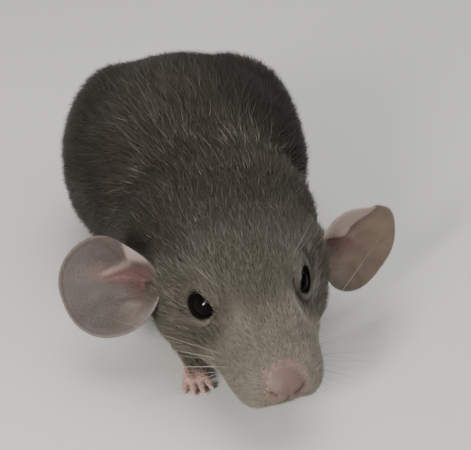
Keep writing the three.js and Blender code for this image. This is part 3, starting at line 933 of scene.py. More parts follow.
@dataclass
class TailForm:
    """The tail: it comes off the rump and lies on the floor in gentle bends."""

    path: tuple[tuple[float, float, float], ...] = (
        (-1, 26, 9.2), (-2, 32.5, 5.6), (-2.5, 41, 2.4), (4, 51, 2.05), (15, 57.5, 1.76),
        (23, 65, 1.46), (22, 77, 1.16), (19, 87, 0.86), (25, 95, 0.56),
    )
    root_radius: float = 3.1
    tip_radius: float = 0.6
    sunk: float = 0.93
    round_from: float = 0.985
    round_over: float = 0.0151

    def centres(self, t: Array) -> Array:
        """Points of the middle line, for t from 0 at the root to 1 at the tip."""
        knots = np.array(self.path, dtype=float)
        knots = np.concatenate([[2 * knots[0] - knots[1]], knots, [2 * knots[-1] - knots[-2]]])
        place = np.clip(t, 0, 1) * (len(self.path) - 1)
        i = np.minimum(np.floor(place).astype(int), len(self.path) - 2)
        f = (place - i)[:, None]
        a, b, c, d = knots[i], knots[i + 1], knots[i + 2], knots[i + 3]
        bend = (2 * a - 5 * b + 4 * c - d) * f**2
        return 0.5 * (2 * b + (c - a) * f + bend + (3 * b - a - 3 * c + d) * f**3)

    def radius(self, t: Array) -> Array:
        """The tail's radius along its length."""
        return self.root_radius + (self.tip_radius - self.root_radius) * t

    def build(self, rings: int = 300, sides: int = 20) -> tuple[Array, Array]:
        """The closed skin of the tail.

        Args:
            rings: steps along it.
            sides: steps round it.

        Returns:
            Points and triangles.
        """
        t = np.linspace(0, 1, rings)
        line = self.centres(t)
        line[:, 2] = np.maximum(line[:, 2], self.radius(t) * self.sunk)
        rounding = np.sqrt(np.clip(1 - ((t - self.round_from) / self.round_over) ** 2, 0.02, 1))
        radius = self.radius(t) * np.where(t > self.round_from, rounding, 1.0)
        points, faces = tube(line, radius, sides, (0.0, 0.0, 1.0))
        points[:, 2] = np.maximum(points[:, 2], 0.0)
        return points, faces


class Place(Enum):
    """What a point of the skin belongs to."""

    TRUNK = 0
    EAR = 1
    LIMB = 2
    TAIL = 3


@dataclass(frozen=True)
class SkinFinish:
    """Colours of the skin, as linear red, green and blue, and its gloss."""

    under_fur: Colour = (0.042, 0.037, 0.027)
    pale_under: Colour = (0.20, 0.175, 0.135)
    bare: Colour = (0.46, 0.27, 0.235)
    ear: Colour = (0.147, 0.109, 0.078)
    # The animal's right ear is painted darker than the left: painted shade.
    ear_shade: Colour = (0.065, 0.053, 0.047)
    # The reddish hollow of the ear, also used for the painted shade in the crease under the roll.
    ear_deep: Colour = (0.125, 0.062, 0.058)
    # Colour of the painted highlights on the ears' rims, rolls and ridges.
    ear_light: Colour = (0.30, 0.235, 0.21)
    tail: Colour = (0.36, 0.25, 0.225)
    nose: Colour = (0.140, 0.094, 0.081)
    lid: Colour = (0.0085, 0.0072, 0.0068)
    # Colour of the painted shade on the back, flank and cheek.
    dim: Colour = (0.012, 0.010, 0.007)
    vein: float = 1.45
    roughness: float = 0.52
    specular: float = 0.22
    translucent: float = 0.22
    depth: float = 0.0009


@dataclass(frozen=True)
class FurFinish:
    """Colours of a hair from its root to its tip, for dark and for pale fur, and its gloss."""

    dark_root: Colour = (0.032, 0.028, 0.020)
    dark_tip: Colour = (0.120, 0.108, 0.080)
    pale_root: Colour = (0.16, 0.142, 0.108)
    pale_tip: Colour = (0.42, 0.38, 0.31)
    # Tip of a light hair, also the colour of the painted light on the coat.
    light_tip: Colour = (0.47, 0.45, 0.39)
    down: Colour = (0.27, 0.20, 0.175)
    # Colour of the painted shade on the back, flank and cheek.
    dim: Colour = (0.012, 0.010, 0.007)
    roughness: float = 0.5
    specular: float = 0.35


class NodeCanvas:
    """A small helper that adds and links the nodes of one material or geometry tree."""

    def __init__(self, tree: bpy.types.NodeTree) -> None:
        """Start on an emptied tree."""
        self.tree = tree
        self.tree.nodes.clear()

    def fill(self, socket: bpy.types.NodeSocket, value: object) -> None:
        """Link a socket to another one, or set its value."""
        if isinstance(value, bpy.types.NodeSocket):
            self.tree.links.new(value, socket)
        else:
            socket.default_value = value

    def add(self, kind: str, inputs: dict | None = None, **settings: object) -> bpy.types.Node:
        """Add a node.

        Args:
            kind: the node's class name.
            inputs: sockets or values for its inputs, by name or number.
            settings: its properties.

        Returns:
            The new node.
        """
        node = self.tree.nodes.new(kind)
        for name, value in settings.items():
            setattr(node, name, value)
        for name, value in (inputs or {}).items():
            self.fill(node.inputs[name], value)
        return node

    def fact(self, name: str) -> bpy.types.NodeSocket:
        """One of the mesh's own attributes, as a number."""
        return self.add("ShaderNodeAttribute", attribute_name=name).outputs["Fac"]

    def place(self) -> bpy.types.NodeSocket:
        """The place on the object."""
        return self.add("ShaderNodeTexCoord").outputs["Object"]

    def noise(self, place: bpy.types.NodeSocket, scale: float, detail: float) -> bpy.types.NodeSocket:
        """Soft noise by place."""
        inputs = {"Vector": place, "Scale": scale, "Detail": detail}
        return self.add("ShaderNodeTexNoise", inputs).outputs["Fac"]

    def mix_colour(
        self, amount: object, first: object, second: object, way: str = "MIX",
    ) -> bpy.types.NodeSocket:
        """Mix two colours.

        Args:
            amount: a socket or number from 0 to 1.
            first: a socket or colour.
            second: a socket or colour.
            way: the blend's name.

        Returns:
            The mixed colour's socket.
        """
        node = self.add("ShaderNodeMix", {0: amount}, data_type="RGBA", blend_type=way)
        for index, value in ((6, first), (7, second)):
            self.fill(node.inputs[index], (*value, 1.0) if isinstance(value, tuple) else value)
        return node.outputs[2]

    def math(self, way: str, first: object, second: object = 0.0, third: object = 0.0) -> bpy.types.NodeSocket:
        """One step of arithmetic on sockets or numbers."""
        return self.add("ShaderNodeMath", {0: first, 1: second, 2: third}, operation=way).outputs[0]


def new_material(name: str) -> tuple[bpy.types.Material, NodeCanvas, bpy.types.Node]:
    """Start a material with one main shader.

    Args:
        name: the material's name.

    Returns:
        The material, its canvas and its shader node.
    """
    material = bpy.data.materials.new(name)
    material.use_nodes = True
    canvas = NodeCanvas(material.node_tree)
    shader = canvas.add("ShaderNodeBsdfPrincipled")
    canvas.add("ShaderNodeOutputMaterial", {"Surface": shader.outputs["BSDF"]})
    return material, canvas, shader


def toned(colour: Colour, share: float) -> Colour:
    """A colour made darker or lighter by a share."""
    return tuple(v * share for v in colour)


@dataclass(frozen=True)
class CloudyFinish:
    """A finish whose colour drifts softly between two tones."""

    name: str
    dark: Colour
    light: Colour
    scale: float
    detail: float
    levels: tuple[tuple[str, float], ...]

    def material(self) -> bpy.types.Material:
        """The finish as a material."""
        material, c, shader = new_material(self.name)
        cloud = c.noise(c.place(), self.scale, self.detail)
        c.fill(shader.inputs["Base Color"], c.mix_colour(cloud, self.dark, self.light))
        for socket, value in self.levels:
            shader.inputs[socket].default_value = value
        return material


EYE_FINISH = CloudyFinish(
    "eye", (0.0008, 0.0007, 0.0007), (0.0016, 0.0012, 0.0011), 500.0, 3.0,
    (("Roughness", 0.05), ("Specular IOR Level", 0.028), ("IOR", 1.4)),
)
LID_FINISH = CloudyFinish(
    "lid", toned(SkinFinish.lid, 0.5), SkinFinish.lid, 1500.0, 3.0,
    (("Roughness", 0.95), ("Specular IOR Level", 0.03)),
)
WHISKER_FINISH = CloudyFinish(
    "whisker", toned((0.36, 0.34, 0.29), 0.55), (0.36, 0.34, 0.29), 200.0, 2.0, (("Roughness", 0.35),),
)
CLAW_FINISH = CloudyFinish(
    "claw", toned((0.62, 0.5, 0.44), 0.7), (0.62, 0.5, 0.44), 900.0, 3.0, (("Roughness", 0.3),),
)
FLOOR_FINISH = CloudyFinish(
    "floor", (0.60, 0.59, 0.57), (0.66, 0.65, 0.63), 3.0, 2.0, (("Roughness", 0.8),),
)


@dataclass
class CoatRules:
    """How the coat lies, how long and thick it is, and the markings and painted shade that skin and coat
    share.

    Each rule is written for the points p of the skin, in the animal's frame.
    """

    form: Anatomy
    p: Array
    normal: Array
    place: Array
    ear_hair: tuple[float, float, float, float] = (0.7, 5.0, 0.04, 0.35)
    tail_hair: tuple[float, float, float, float] = (0.8, 2.5, 0.05, 0.35)
    # The most painted shade that a point takes.
    most_dim: float = 0.7

    def __post_init__(self) -> None:
        """Work out what several rules ask for."""
        form = self.form
        self.q = form.head.local(self.p)
        self.m = to_left(self.q)
        self.ear = self.place == Place.EAR.value
        self.limb = self.place == Place.LIMB.value
        self.tail = self.place == Place.TAIL.value
        self.arm = ease(self.p[:, 2], 1.9, 3.6)
        from_eye = self.m - np.array(form.eye.centre)
        self.to_eye = np.linalg.norm(from_eye, axis=1)
        self.near_eye = ease(self.to_eye, 5.2, 3.9)
        self.shut = form.eye.opening(self.m) - 0.35 * ease(from_eye @ form.eye.axes()[2], 0.3, 2.4)
        nose = ellipsoid(self.q, np.array(form.nose) + np.array([0, -0.9, 0.0]), (2.75, 2.6, 2.55))
        above_nose = ease(self.q[:, 2], form.nose[2] + 0.5, form.nose[2] + 3.0)
        self.bare_nose = ease(nose - 0.9 * above_nose, 2.2, -0.5)

    def of_ear(self, ear: EarForm) -> Array:
        """Which points are on one ear."""
        return self.ear & (self.p[:, 0] * ear.side.value > 0)

    def lie(self) -> Array:
        """Unit directions along the skin: back from the nose, down the flanks, outwards on the ears."""
        x, y, _ = self.p.T
        on_head = ease(y, -20.0, -30.0)
        fan = unit(self.q - np.array([0.0, -17.5, -7.0]))
        back = self.form.head.direction(unit(fan * 0.62 + np.array([0.0, 0.55, 0.0])))
        down = np.zeros_like(self.p)
        down[:, 1] = 1.0
        down[:, 0] = 0.30 * np.sign(x) * ease(np.abs(x), 2.0, 20.0) * ease(y, 5.0, -20.0)
        down[:, 2] = -0.55 * ease(np.abs(x), 6.0, 22.0) - 0.9 * ease(y, 16.0, 32.0)
        lie = unit(back * on_head[:, None] + down * (1 - on_head)[:, None])
        for ear in self.form.ears:
            a, b, _ = ear.local(self.p)
            radial = unit((a - ear.dish[0])[:, None] * ear.outward + (b - ear.dish[1])[:, None] * ear.upward)
            lie = np.where(self.of_ear(ear)[:, None], radial, lie)
        for here, way in ((self.limb, (0.0, -1.0, -0.2)), (self.tail, (0.2, 1.0, 0.0))):
            lie = np.where(here[:, None], unit(np.array(way)), lie)
        return unit(lie - np.sum(lie * self.normal, axis=1, keepdims=True) * self.normal)

    def hair(self) -> dict[str, Array]:
        """Length, density, width and lift of the hair, in metres."""
        p, q, m = self.p, self.q, self.m
        ahead, y, z = q[:, 1], p[:, 1], p[:, 2]
        flank = bump_at(p, (19.0, -13.0, 20.0), (7.0, 12.0, 10.0))
        cheek = bump_at(m, (10.5, 5.5, -6.5), (5.5, 7.0, 5.5))
        cheek = cheek + 1.3 * bump_at(m, (8.0, -3.0, -6.0), (4.0, 5.0, 5.0))
        length = 1.0 + 0.9 * ease(ahead, -14.0, -4.0) + 1.4 * ease(ahead, -4.0, 8.0)
        length = length + 3.0 * ease(y, -34.0, -12.0)
        length = length * (1 - 0.55 * ease(self.to_eye, 5.5, 3.4)) * (1 + 0.45 * cheek + 0.3 * flank)
        length *= 1 - 0.4 * ease(z, 8.0, 2.0)
        density = 42.0 - 14.0 * ease(ahead, -6.0, 2.0) - 6.0 * ease(ahead, 2.0, 14.0)
        density = density - 4.0 * ease(y, -30.0, -10.0)
        density *= (1 - self.bare_nose) * (1 - ease(self.shut, -0.25, 0.0) * self.near_eye)
        mouth = np.abs(self.form.mouth_height(q))
        density *= 1 - 0.85 * ease(mouth, 0.55, 0.2) * ease(ahead, -6.0, -7.5) * ease(y, -44.0, -47.0)
        density *= np.where(self.normal[:, 2] < -0.5, 0.45, 1.0) * np.where(z < 1.2, 0.0, 1.0)
        width = 0.075 + 0.03 * ease(ahead, -8.0, 4.0) + 0.05 * ease(y, -34.0, -12.0)
        lift = 0.30 + 0.04 * ease(y, -34.0, -10.0) + 0.12 * ease(y, 14.0, 30.0) + 0.22 * cheek
        lift = lift + 0.22 * bump_at(p, (6.0, -17.0, 32.0), (12.0, 4.5, 9.0)) + 0.2 * flank
        hair = {"coat_length": length, "coat_density": density, "coat_width": width, "coat_lift": lift}
        for here, given in ((self.ear, self.ear_hair), (self.tail, self.tail_hair)):
            for name, value in zip(hair, given):
                hair[name] = np.where(here, value, hair[name])
        limb = (0.55 + 1.6 * self.arm, np.where(z < 0.5, 0.0, 5.0 + 8.0 * self.arm), 0.06 + 0.04 * self.arm)
        for name, value in zip(hair, limb):
            hair[name] = np.where(self.limb, value, hair[name])
        hair["coat_length"] = hair["coat_length"] * MM
        hair["coat_density"] = np.maximum(hair["coat_density"], 0.0) / (MM * MM)
        hair["coat_width"] = hair["coat_width"] * MM
        return hair

    def tones(self) -> dict[str, Array]:
        """The pale face and belly, painted shade on the left of the back behind the nape, on the right flank
        and on the left cheek, and the chance of a light hair, raised in patches of painted light.
        """
        p, q, m = self.p, self.q, self.m
        ahead, beside, x, y = q[:, 1], m[:, 0], p[:, 0], p[:, 1]
        pale = 0.7 * ease(ahead, -1.0, -12.0) + 0.24 * ease(ahead, 16.0, 0.0)
        pale += 0.42 * ease(beside, 2.0, 6.0) * ease(ahead, -3.0, -10.0)
        pale += 0.08 * ease(beside, 8.0, 13.0) * ease(ahead, 14.0, 6.0)
        pale += 0.45 * ease(p[:, 2], 16.0, 5.0) * ease(y, -50, -20)
        pale += 0.2 * ease(self.to_eye, 7.5, 4.5)
        pale -= 0.2 * ease(beside, 5.0, 1.5) * ease(ahead, -3.0, -7.0) * ease(ahead, -14.5, -11.5)
        pale = np.clip(pale, 0, 1.05) * (1 - 0.25 * ease(y, -12.0, 8.0))
        # Painted shade: the left of the back behind the nape, the right flank and the left cheek are darkened.
        dim = 0.68 * ease(x, -5.0, 9.0) * ease(y, -16.0, -9.0) * ease(y, 16.0, 4.0)
        dim += 0.25 * ease(x, -8.0, -18.0) * ease(y, -20.0, -6.0)
        dim += (
            0.35 * ease(beside, 10.5, 14.0) * ease(ahead, 12.0, 4.0)
            * ease(x, 0.0, 4.0) * ease(y, -22.0, -30.0)
        )
        # Light hairs, a few everywhere and more on the forehead; the bumps behind the right eye, on the nape
        # and on the right of the back add painted light.
        silver = 0.05 + 0.07 * ease(ahead, 18.0, 6.0) * ease(ahead, -10.0, -2.0)
        silver += 0.14 * bump_at(q, (-6.5, 7.0, 7.0), (3.5, 7.0, 5.0))
        silver += 0.2 * bump_at(p, (7.0, -17.0, 32.0), (9.0, 4.5, 8.0))
        silver += 0.07 * bump_at(p, (-9.0, -2.0, 38.0), (8.0, 12.0, 8.0))
        return {"pale": pale, "dim": np.clip(dim, 0.0, self.most_dim), "silver": silver}

    def ear_marks(self) -> dict[str, Array]:
        """The reddish hollow with painted shade in the crease, painted highlights on the rim and folds, the
        painted shade of the right ear, and the veins.
        """
        marks = {name: np.zeros(len(self.p)) for name in ("ear_deep", "ear_light", "vein")}
        for ear in self.form.ears:
            a, b, _ = ear.local(self.p)
            inner = self.normal @ ear.facing > 0
            hollow = np.maximum(
                np.exp(-((a - 0.5) ** 2 + (b - 0.3) ** 2) / 7.0),
                bump_at(np.stack([a, b], -1), (4.6, 1.2), (5.6, 1.5)),
            )
            # Painted shade along the crease under the roll joins the reddish hollow.
            hollow = np.maximum(hollow, 0.9 * ear.crease(a, b)) * np.where(inner, 1.0, 0.2)
            # Painted highlight, weaker on the back of the ear.
            light = ear.light(a, b) * np.where(inner, 1.0, 0.4)
            angle = np.arctan2(b, a + 2.0)
            lines = np.sin(angle * 19 + 1.5 * np.sin(a * 0.6)) * ease(np.hypot(a, b), 2.0, 6.0)
            for name, value in zip(marks, (hollow, light, lines)):
                marks[name] = np.where(self.of_ear(ear), value, marks[name])
        # Painted shade over the whole of the animal's right ear.
        return marks | {"ear_shade": (self.ear & (self.p[:, 0] < 0)).astype(float)}

    def bareness(self) -> dict[str, Array]:
        """Where the skin shows: nose, lids, paws, ears and tail."""
        bare = np.where(self.limb, 1 - self.arm, self.bare_nose)
        return {
            "bare": np.where(self.ear | self.tail, 1.0, bare),
            "on_ear": self.ear.astype(float),
            "on_tail": self.tail.astype(float),
            "nose": self.bare_nose,
            "lid": ease(self.shut, -0.36, -0.12) * self.near_eye,
        }

    def values(self) -> dict[str, Array]:
        """Every rule's values by attribute name."""
        return {"lie": self.lie()} | self.hair() | self.tones() | self.bareness() | self.ear_marks()


@dataclass
class SkinPiece:
    """The one skin of the whole animal, with the lie and length of the coat written on it."""

    shop: Workshop
    form: Anatomy
    feet: list[FootForm]
    tail: TailForm
    finish: SkinFinish = field(default_factory=SkinFinish)
    trunk_step: float = 0.95
    paw_step: float = 0.24
    foot_step: float = 0.28

    def nets(self) -> list[tuple[str, Array, Array]]:
        """Polygonise each stretch of the animal."""
        spaced = SurfaceNet.spaced
        xs = spaced([(-20, 0.55), (-11.5, 0.28), (-4.0, 0.42), (4.0, 0.28), (11.5, 0.55)], 20)
        ys = spaced([(-63, 0.34), (-47, 0.28), (-36, 0.5)], -22.5)
        zs = spaced([(-0.9, 0.5), (13.0, 0.29), (26.0, 0.5)], 41)
        out = [("fore", *SurfaceNet(self.form.fore_net, xs, ys, zs).build())]
        step = self.trunk_step
        xs, ys, zs = np.arange(-31, 31, step), np.arange(-27.4, 42, step), np.arange(-2 * step, 48, step)
        out.append(("hind", *SurfaceNet(self.form.hind_net, xs, ys, zs).build()))
        for ear in self.form.ears:
            out.append((f"ear_{ear.side.word}", *ear.build()))
        for k, foot in enumerate(self.feet):
            out.append((f"foot_{k}", *foot.build(self.paw_step if foot.toes == 4 else self.foot_step)))
        out.append(("tail", *self.tail.build()))
        return out

    def union(self, parts: list[bpy.types.Object]) -> bpy.types.Object:
        """Join closed parts into one closed skin.

        Args:
            parts: the closed meshes, which are used up.

        Returns:
            The joined object.
        """
        first, rest = parts[0], parts[1:]
        group = bpy.data.collections.new("to_join")
        for part in rest:
            group.objects.link(part)
        step = first.modifiers.new("join", "BOOLEAN")
        step.operation = "UNION"
        step.operand_type = "COLLECTION"
        step.collection = group
        step.solver = "MANIFOLD"
        settle_mesh(first)
        discard(rest, group)
        return first

    def places(self, p: Array) -> Array:
        """Tell what each point of the skin belongs to.

        Args:
            p: points of the animal's frame.

        Returns:
            Values of Place.
        """
        x, y, z = p.T
        place = np.full(len(p), Place.TRUNK.value)
        away = self.form.skin(p) > 0.14
        place[away & (y > 28.0) & (z < 9.0)] = Place.TAIL.value
        low = away & (z < 12.5) & (np.abs(x) < 24.5) & (y < 24) & (place != Place.TAIL.value)
        place[low] = Place.LIMB.value
        for ear in self.form.ears:
            beside = (z > 5.5) & (x * ear.side.value > 12.5) & (y < -18.0)
            place[away & ear.holds(p) & beside] = Place.EAR.value
        return place

    def write(self, mesh: bpy.types.Mesh, values: dict[str, Array]) -> None:
        """Store arrays as attributes of the mesh's points."""
        for name, value in values.items():
            kind, key = ("FLOAT_VECTOR", "vector") if value.ndim == 2 else ("FLOAT", "value")
            made = mesh.attributes.new(name, kind, "POINT")
            made.data.foreach_set(key, value.astype(np.float32).ravel())

    def unwrap(self, skin: bpy.types.Object) -> None:
        """Lay the skin's own shape out flat in the map that the coat's roots use."""
        bpy.context.view_layer.objects.active = skin
        skin.select_set(True)
        skin.data.uv_layers.new(name="OFBake")
        bpy.ops.object.mode_set(mode="EDIT")
        bpy.ops.mesh.select_all(action="SELECT")
        bpy.ops.uv.smart_project(angle_limit=math.radians(70), island_margin=0.002)
        bpy.ops.object.mode_set(mode="OBJECT")
        skin.select_set(False)

    def material(self) -> bpy.types.Material:
        """Bare pink skin, ear skin and the dark skin under the fur, told apart by the written places, with the
        painted shade and the ears' painted highlights mixed in.
        """
        f = self.finish
        material, c, shader = new_material("skin")
        place = c.place()
        wide, lines = c.noise(place, 260.0, 5.0), c.fact("vein")
        mottle = c.mix_colour(wide, (0.8, 0.8, 0.8), (1.2, 1.2, 1.2))
        # The animal's right ear takes the painted shade.
        ear = c.mix_colour(c.fact("ear_shade"), f.ear, f.ear_shade)
        ear = c.mix_colour(1.0, ear, mottle, "MULTIPLY")
        # The reddish hollow, and the painted shade in the crease under the roll.
        ear = c.mix_colour(c.fact("ear_deep"), ear, f.ear_deep)
        veined = c.mix_colour(1.0, ear, (f.vein, f.vein, f.vein), "MULTIPLY")
        ear = c.mix_colour(c.math("MULTIPLY_ADD", lines, 0.16, 0.16), ear, veined)
        # Painted highlights on the ears' rims, rolls and ridges.
        ear = c.mix_colour(c.fact("ear_light"), ear, f.ear_light)
        bare = c.mix_colour(wide, toned(f.bare, 0.8), toned(f.bare, 1.15))
        for name, tone in (("on_ear", ear), ("on_tail", f.tail), ("nose", f.nose)):
            bare = c.mix_colour(c.fact(name), bare, tone)
        colour = c.mix_colour(c.fact("pale"), f.under_fur, f.pale_under)
        # Mix in the bare places, the painted shade and the dark lid edges.
        for name, tone in (("bare", bare), ("dim", f.dim), ("lid", f.lid)):
            colour = c.mix_colour(c.fact(name), colour, tone)
        grain = c.add("ShaderNodeTexVoronoi", {"Vector": place, "Scale": 2100.0}).outputs["Distance"]
        mixed = c.math("MULTIPLY_ADD", grain, 0.6, c.noise(place, 2600.0, 4.0))
        relief = c.math("MULTIPLY_ADD", lines, 0.5, mixed)
        bump = c.add("ShaderNodeBump", {"Strength": 0.35, "Distance": 0.00012, "Height": relief})
        for name, value in (
            ("Base Color", colour), ("Normal", bump.outputs["Normal"]), ("Roughness", f.roughness),
            ("Specular IOR Level", f.specular), ("Subsurface Weight", f.translucent),
            ("Subsurface Radius", (1.0, 0.35, 0.2)), ("Subsurface Scale", f.depth),
        ):
            c.fill(shader.inputs[name], value)
        return material

    def mark_lids(self, mesh: bpy.types.Mesh, lid: Array, share: float = 0.93) -> None:
        """Give the faces of the lids' edges the second material.

        Args:
            mesh: the skin's mesh.
            lid: how much each of its points is a lid's edge.
            share: the least mean of a face that takes it.
        """
        corners = np.empty(len(mesh.loops), dtype=np.int32)
        mesh.loops.foreach_get("vertex_index", corners)
        starts = np.empty(len(mesh.polygons), dtype=np.int32)
        mesh.polygons.foreach_get("loop_start", starts)
        mean = np.add.reduceat(lid[corners], starts) / np.diff(np.append(starts, len(corners)))
        mesh.polygons.foreach_set("material_index", (mean > share).astype(np.int32))

    def build(self) -> bpy.types.Object:
        """Make the skin, write the coat on it and put it in place of the flesh."""
        parts = []
        for name, points, faces in self.nets():
            parts.append(self.shop.mesh_object(name, points, faces))
            LOG.info("net %s: %d triangles", name, len(faces))
        skin = self.union(parts)
        skin.name = skin.data.name = "skin"
        mesh = skin.data
        mesh.polygons.foreach_set("use_smooth", np.ones(len(mesh.polygons), dtype=bool))
        p = self.shop.points_of(mesh)
        normals = np.empty(len(mesh.vertices) * 3, dtype=np.float32)
        mesh.vertex_normals.foreach_get("vector", normals)
        values = CoatRules(self.form, p, normals.reshape(-1, 3).astype(float), self.places(p)).values()
        self.write(mesh, values)
        self.unwrap(skin)
        mesh.materials.clear()
        mesh.materials.append(self.material())
        mesh.materials.append(LID_FINISH.material())
        self.mark_lids(mesh, values["lid"])
        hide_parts(*(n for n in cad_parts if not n.startswith("eye_")))
        self.shop.finish_piece(skin, "fur")
        return skin


@dataclass(frozen=True)
class CoatStretch:
    """One stretch of the coat along the animal, and the seed of its hairs."""

    name: str
    low: float
    high: float
    seed: int


@dataclass
class CoatPiece:
    """The fur, as thin solid tufts that follow the lie written on the skin."""

    shop: Workshop
    skin: bpy.types.Object
    finish: FurFinish = field(default_factory=FurFinish)
    variants: int = 6
    stretches: tuple[CoatStretch, ...] = (
        CoatStretch("muzzle", -70.0, -50.0, 11),
        CoatStretch("face", -50.0, -41.0, 12),
        CoatStretch("brow", -41.0, -34.0, 13),
        CoatStretch("crown", -34.0, -27.5, 14),
        CoatStretch("nape", -27.5, -17.0, 15),
        CoatStretch("back", -17.0, -6.0, 16),
        CoatStretch("loins", -6.0, 4.0, 17),
        CoatStretch("hips", 4.0, 14.0, 18),
        CoatStretch("rump", 14.0, 24.0, 19),
        CoatStretch("stern", 24.0, 100.0, 20),
    )
    stray: float = 0.32
    patch: float = 0.003
    spent: tuple[str, ...] = (
        "coat_density", "coat_length", "coat_width", "coat_lift",
        "root_normal", "root_turn", "lie", "root_uv",
        "sway", "silver", "ear_deep", "ear_light", "ear_shade", "vein", "on_ear", "on_tail", "nose", "lid",
    )

    def tuft(self, index: int) -> bpy.types.Object:
        """One closed, tapered strand of unit length, lying along x and rising along z.

        Args:
            index: which of the variants this is; the first half of them bend in the middle.

        Returns:
            The strand's object.
        """
        rng = np.random.default_rng(100 + index)
        sway = rng.uniform(-0.12, 0.12)
        curl = rng.uniform(0.85, 1.1)
        straight = index >= self.variants // 2
        points, sways, local = [], [], []
        for t in (0.0,) if straight else (0.0, 0.42):
            rise = curl * (1 - (1 - t) ** 1.9) - 0.04 * (t == 0.0)
            half = 0.5 * (1 - 0.38 * t)
            for aside, up in ((-half, 0.0), (half, 0.0), (0.0, 0.05 * (1 - 0.4 * t))):
                points.append((t * 0.98, aside, rise + up))
                sways.append(sway * t * t)
                local.append((aside + 0.5, t, 0.0))
        points.append((1.0, 0.0, curl * 0.98))
        sways.append(sway)
        local.append((0.5, 1.0, 0.0))
        faces = [(0, 2, 1)]
        if not straight:
            faces += [(0, 1, 4), (0, 4, 3), (1, 2, 5), (1, 5, 4), (2, 0, 3), (2, 3, 5)]
        base = 0 if straight else 3
        faces += [(base, base + 1, base + 3), (base + 1, base + 2, base + 3), (base + 2, base, base + 3)]
        mesh = bpy.data.meshes.new(f"strand_{index}")
        mesh.from_pydata(points, [], faces)
        strand = mesh.attributes.new("strand", "FLOAT_VECTOR", "POINT")
        strand.data.foreach_set("vector", np.array(local, dtype=np.float32).ravel())
        side = mesh.attributes.new("sway", "FLOAT", "POINT")
        side.data.foreach_set("value", np.array(sways, dtype=np.float32))
        mesh.update()
        return bpy.data.objects.new(f"strand_{index}", mesh)

    def material(self) -> bpy.types.Material:
        """Hair that is dark at the root and light at the tip, paler on the face, with light hairs and patches
        of painted light, and darkened by the painted shade.
        """
        f = self.finish
        material, c, shader = new_material("fur")
        strand = c.add("ShaderNodeAttribute", attribute_name="strand").outputs["Vector"]
        along = c.add("ShaderNodeSeparateXYZ", {"Vector": strand}).outputs["Y"]
        pale = c.fact("pale")
        rise = c.math("POWER", along, 1.25)
        rise = c.math("MULTIPLY", rise, c.math("MULTIPLY_ADD", c.fact("shade"), 1.35, 0.15))
        root, tip = c.mix_colour(pale, f.dark_root, f.pale_root), c.mix_colour(pale, f.dark_tip, f.pale_tip)
        colour = c.mix_colour(rise, root, tip)
        # Light hairs and the patches of painted light turn towards the light tip.
        light = c.math("MULTIPLY", c.fact("light_hair"), c.math("MULTIPLY", along, 0.55))
        colour = c.mix_colour(light, colour, f.light_tip)
        colour = c.mix_colour(c.math("MULTIPLY", c.fact("bare"), 0.6), colour, f.down)
        # The painted shade darkens the hair as it darkens the skin.
        c.fill(shader.inputs["Base Color"], c.mix_colour(c.fact("dim"), colour, f.dim))
        shader.inputs["Roughness"].default_value = f.roughness
        shader.inputs["Specular IOR Level"].default_value = f.specular
        return material

    def tree(self, material: bpy.types.Material) -> bpy.types.NodeTree:
        """The rule that grows the coat on the skin.

        Args:
            material: the hair's material.

        Returns:
            The geometry tree.
        """
        tree = bpy.data.node_groups.new("coat", "GeometryNodeTree")
        for name, kind in (
            ("Skin", "Geometry"), ("Strands", "Collection"), ("Thickness", "Float"), ("Length", "Float"),
            ("Width", "Float"), ("Stray", "Float"), ("Seed", "Int"), ("Patch", "Float"),
        ):
            tree.interface.new_socket(name, in_out="INPUT", socket_type=f"NodeSocket{kind}")
        tree.interface.new_socket("Coat", in_out="OUTPUT", socket_type="NodeSocketGeometry")
        c = NodeCanvas(tree)
        given = c.add("NodeGroupInput").outputs
        seed = given["Seed"]

        def named(name: str, kind: str = "FLOAT") -> bpy.types.NodeSocket:
            """Read one of the skin's written values."""
            node = c.add("GeometryNodeInputNamedAttribute", {"Name": name}, data_type=kind)
            return node.outputs["Attribute"]

        def chance(low: float, high: float, offset: int, kind: str = "FLOAT") -> bpy.types.NodeSocket:
            """A random number for each tuft."""
            node = c.add("FunctionNodeRandomValue", data_type=kind)
            sort = "VALUE" if kind == "FLOAT" else "INT"
            ends = [s for s in node.inputs if s.type == sort and s.name in ("Min", "Max")]
            ends[0].default_value, ends[1].default_value = low, high
            c.fill(node.inputs["Seed"], c.math("ADD", seed, float(offset)))
            return next(s for s in node.outputs if s.type == sort)

        def store(geometry: object, name: str, value: object, kind: str, domain: str) -> bpy.types.NodeSocket:
            """Write a value on the geometry."""
            inputs = {"Name": name, "Geometry": geometry, "Value": value}
            node = c.add("GeometryNodeStoreNamedAttribute", inputs, data_type=kind, domain=domain)
            return node.outputs["Geometry"]

        spread = c.add("GeometryNodeDistributePointsOnFaces", distribute_method="RANDOM", inputs={
            "Mesh": given["Skin"], "Seed": seed,
            "Density": c.math("MULTIPLY", named("coat_density"), given["Thickness"]),
        })
        place = c.add("GeometryNodeInputPosition").outputs["Position"]
        turn = c.math("MULTIPLY_ADD", c.noise(place, 300.0, 2.0), 1.1, -0.55)
        turn = c.math("ADD", turn, c.math("MULTIPLY_ADD", c.noise(place, 90.0, 1.0), 0.9, -0.45))
        turn = c.math("ADD", turn, c.math("MULTIPLY", chance(-1.0, 1.0, 1), given["Stray"]))
        shade = c.math("MULTIPLY_ADD", c.noise(place, 1300.0, 1.0), 1.6, -0.55)
        shade = c.math("ADD", shade, chance(0.0, 0.5, 2))
        points = store(spread.outputs["Points"], "shade", shade, "FLOAT", "POINT")
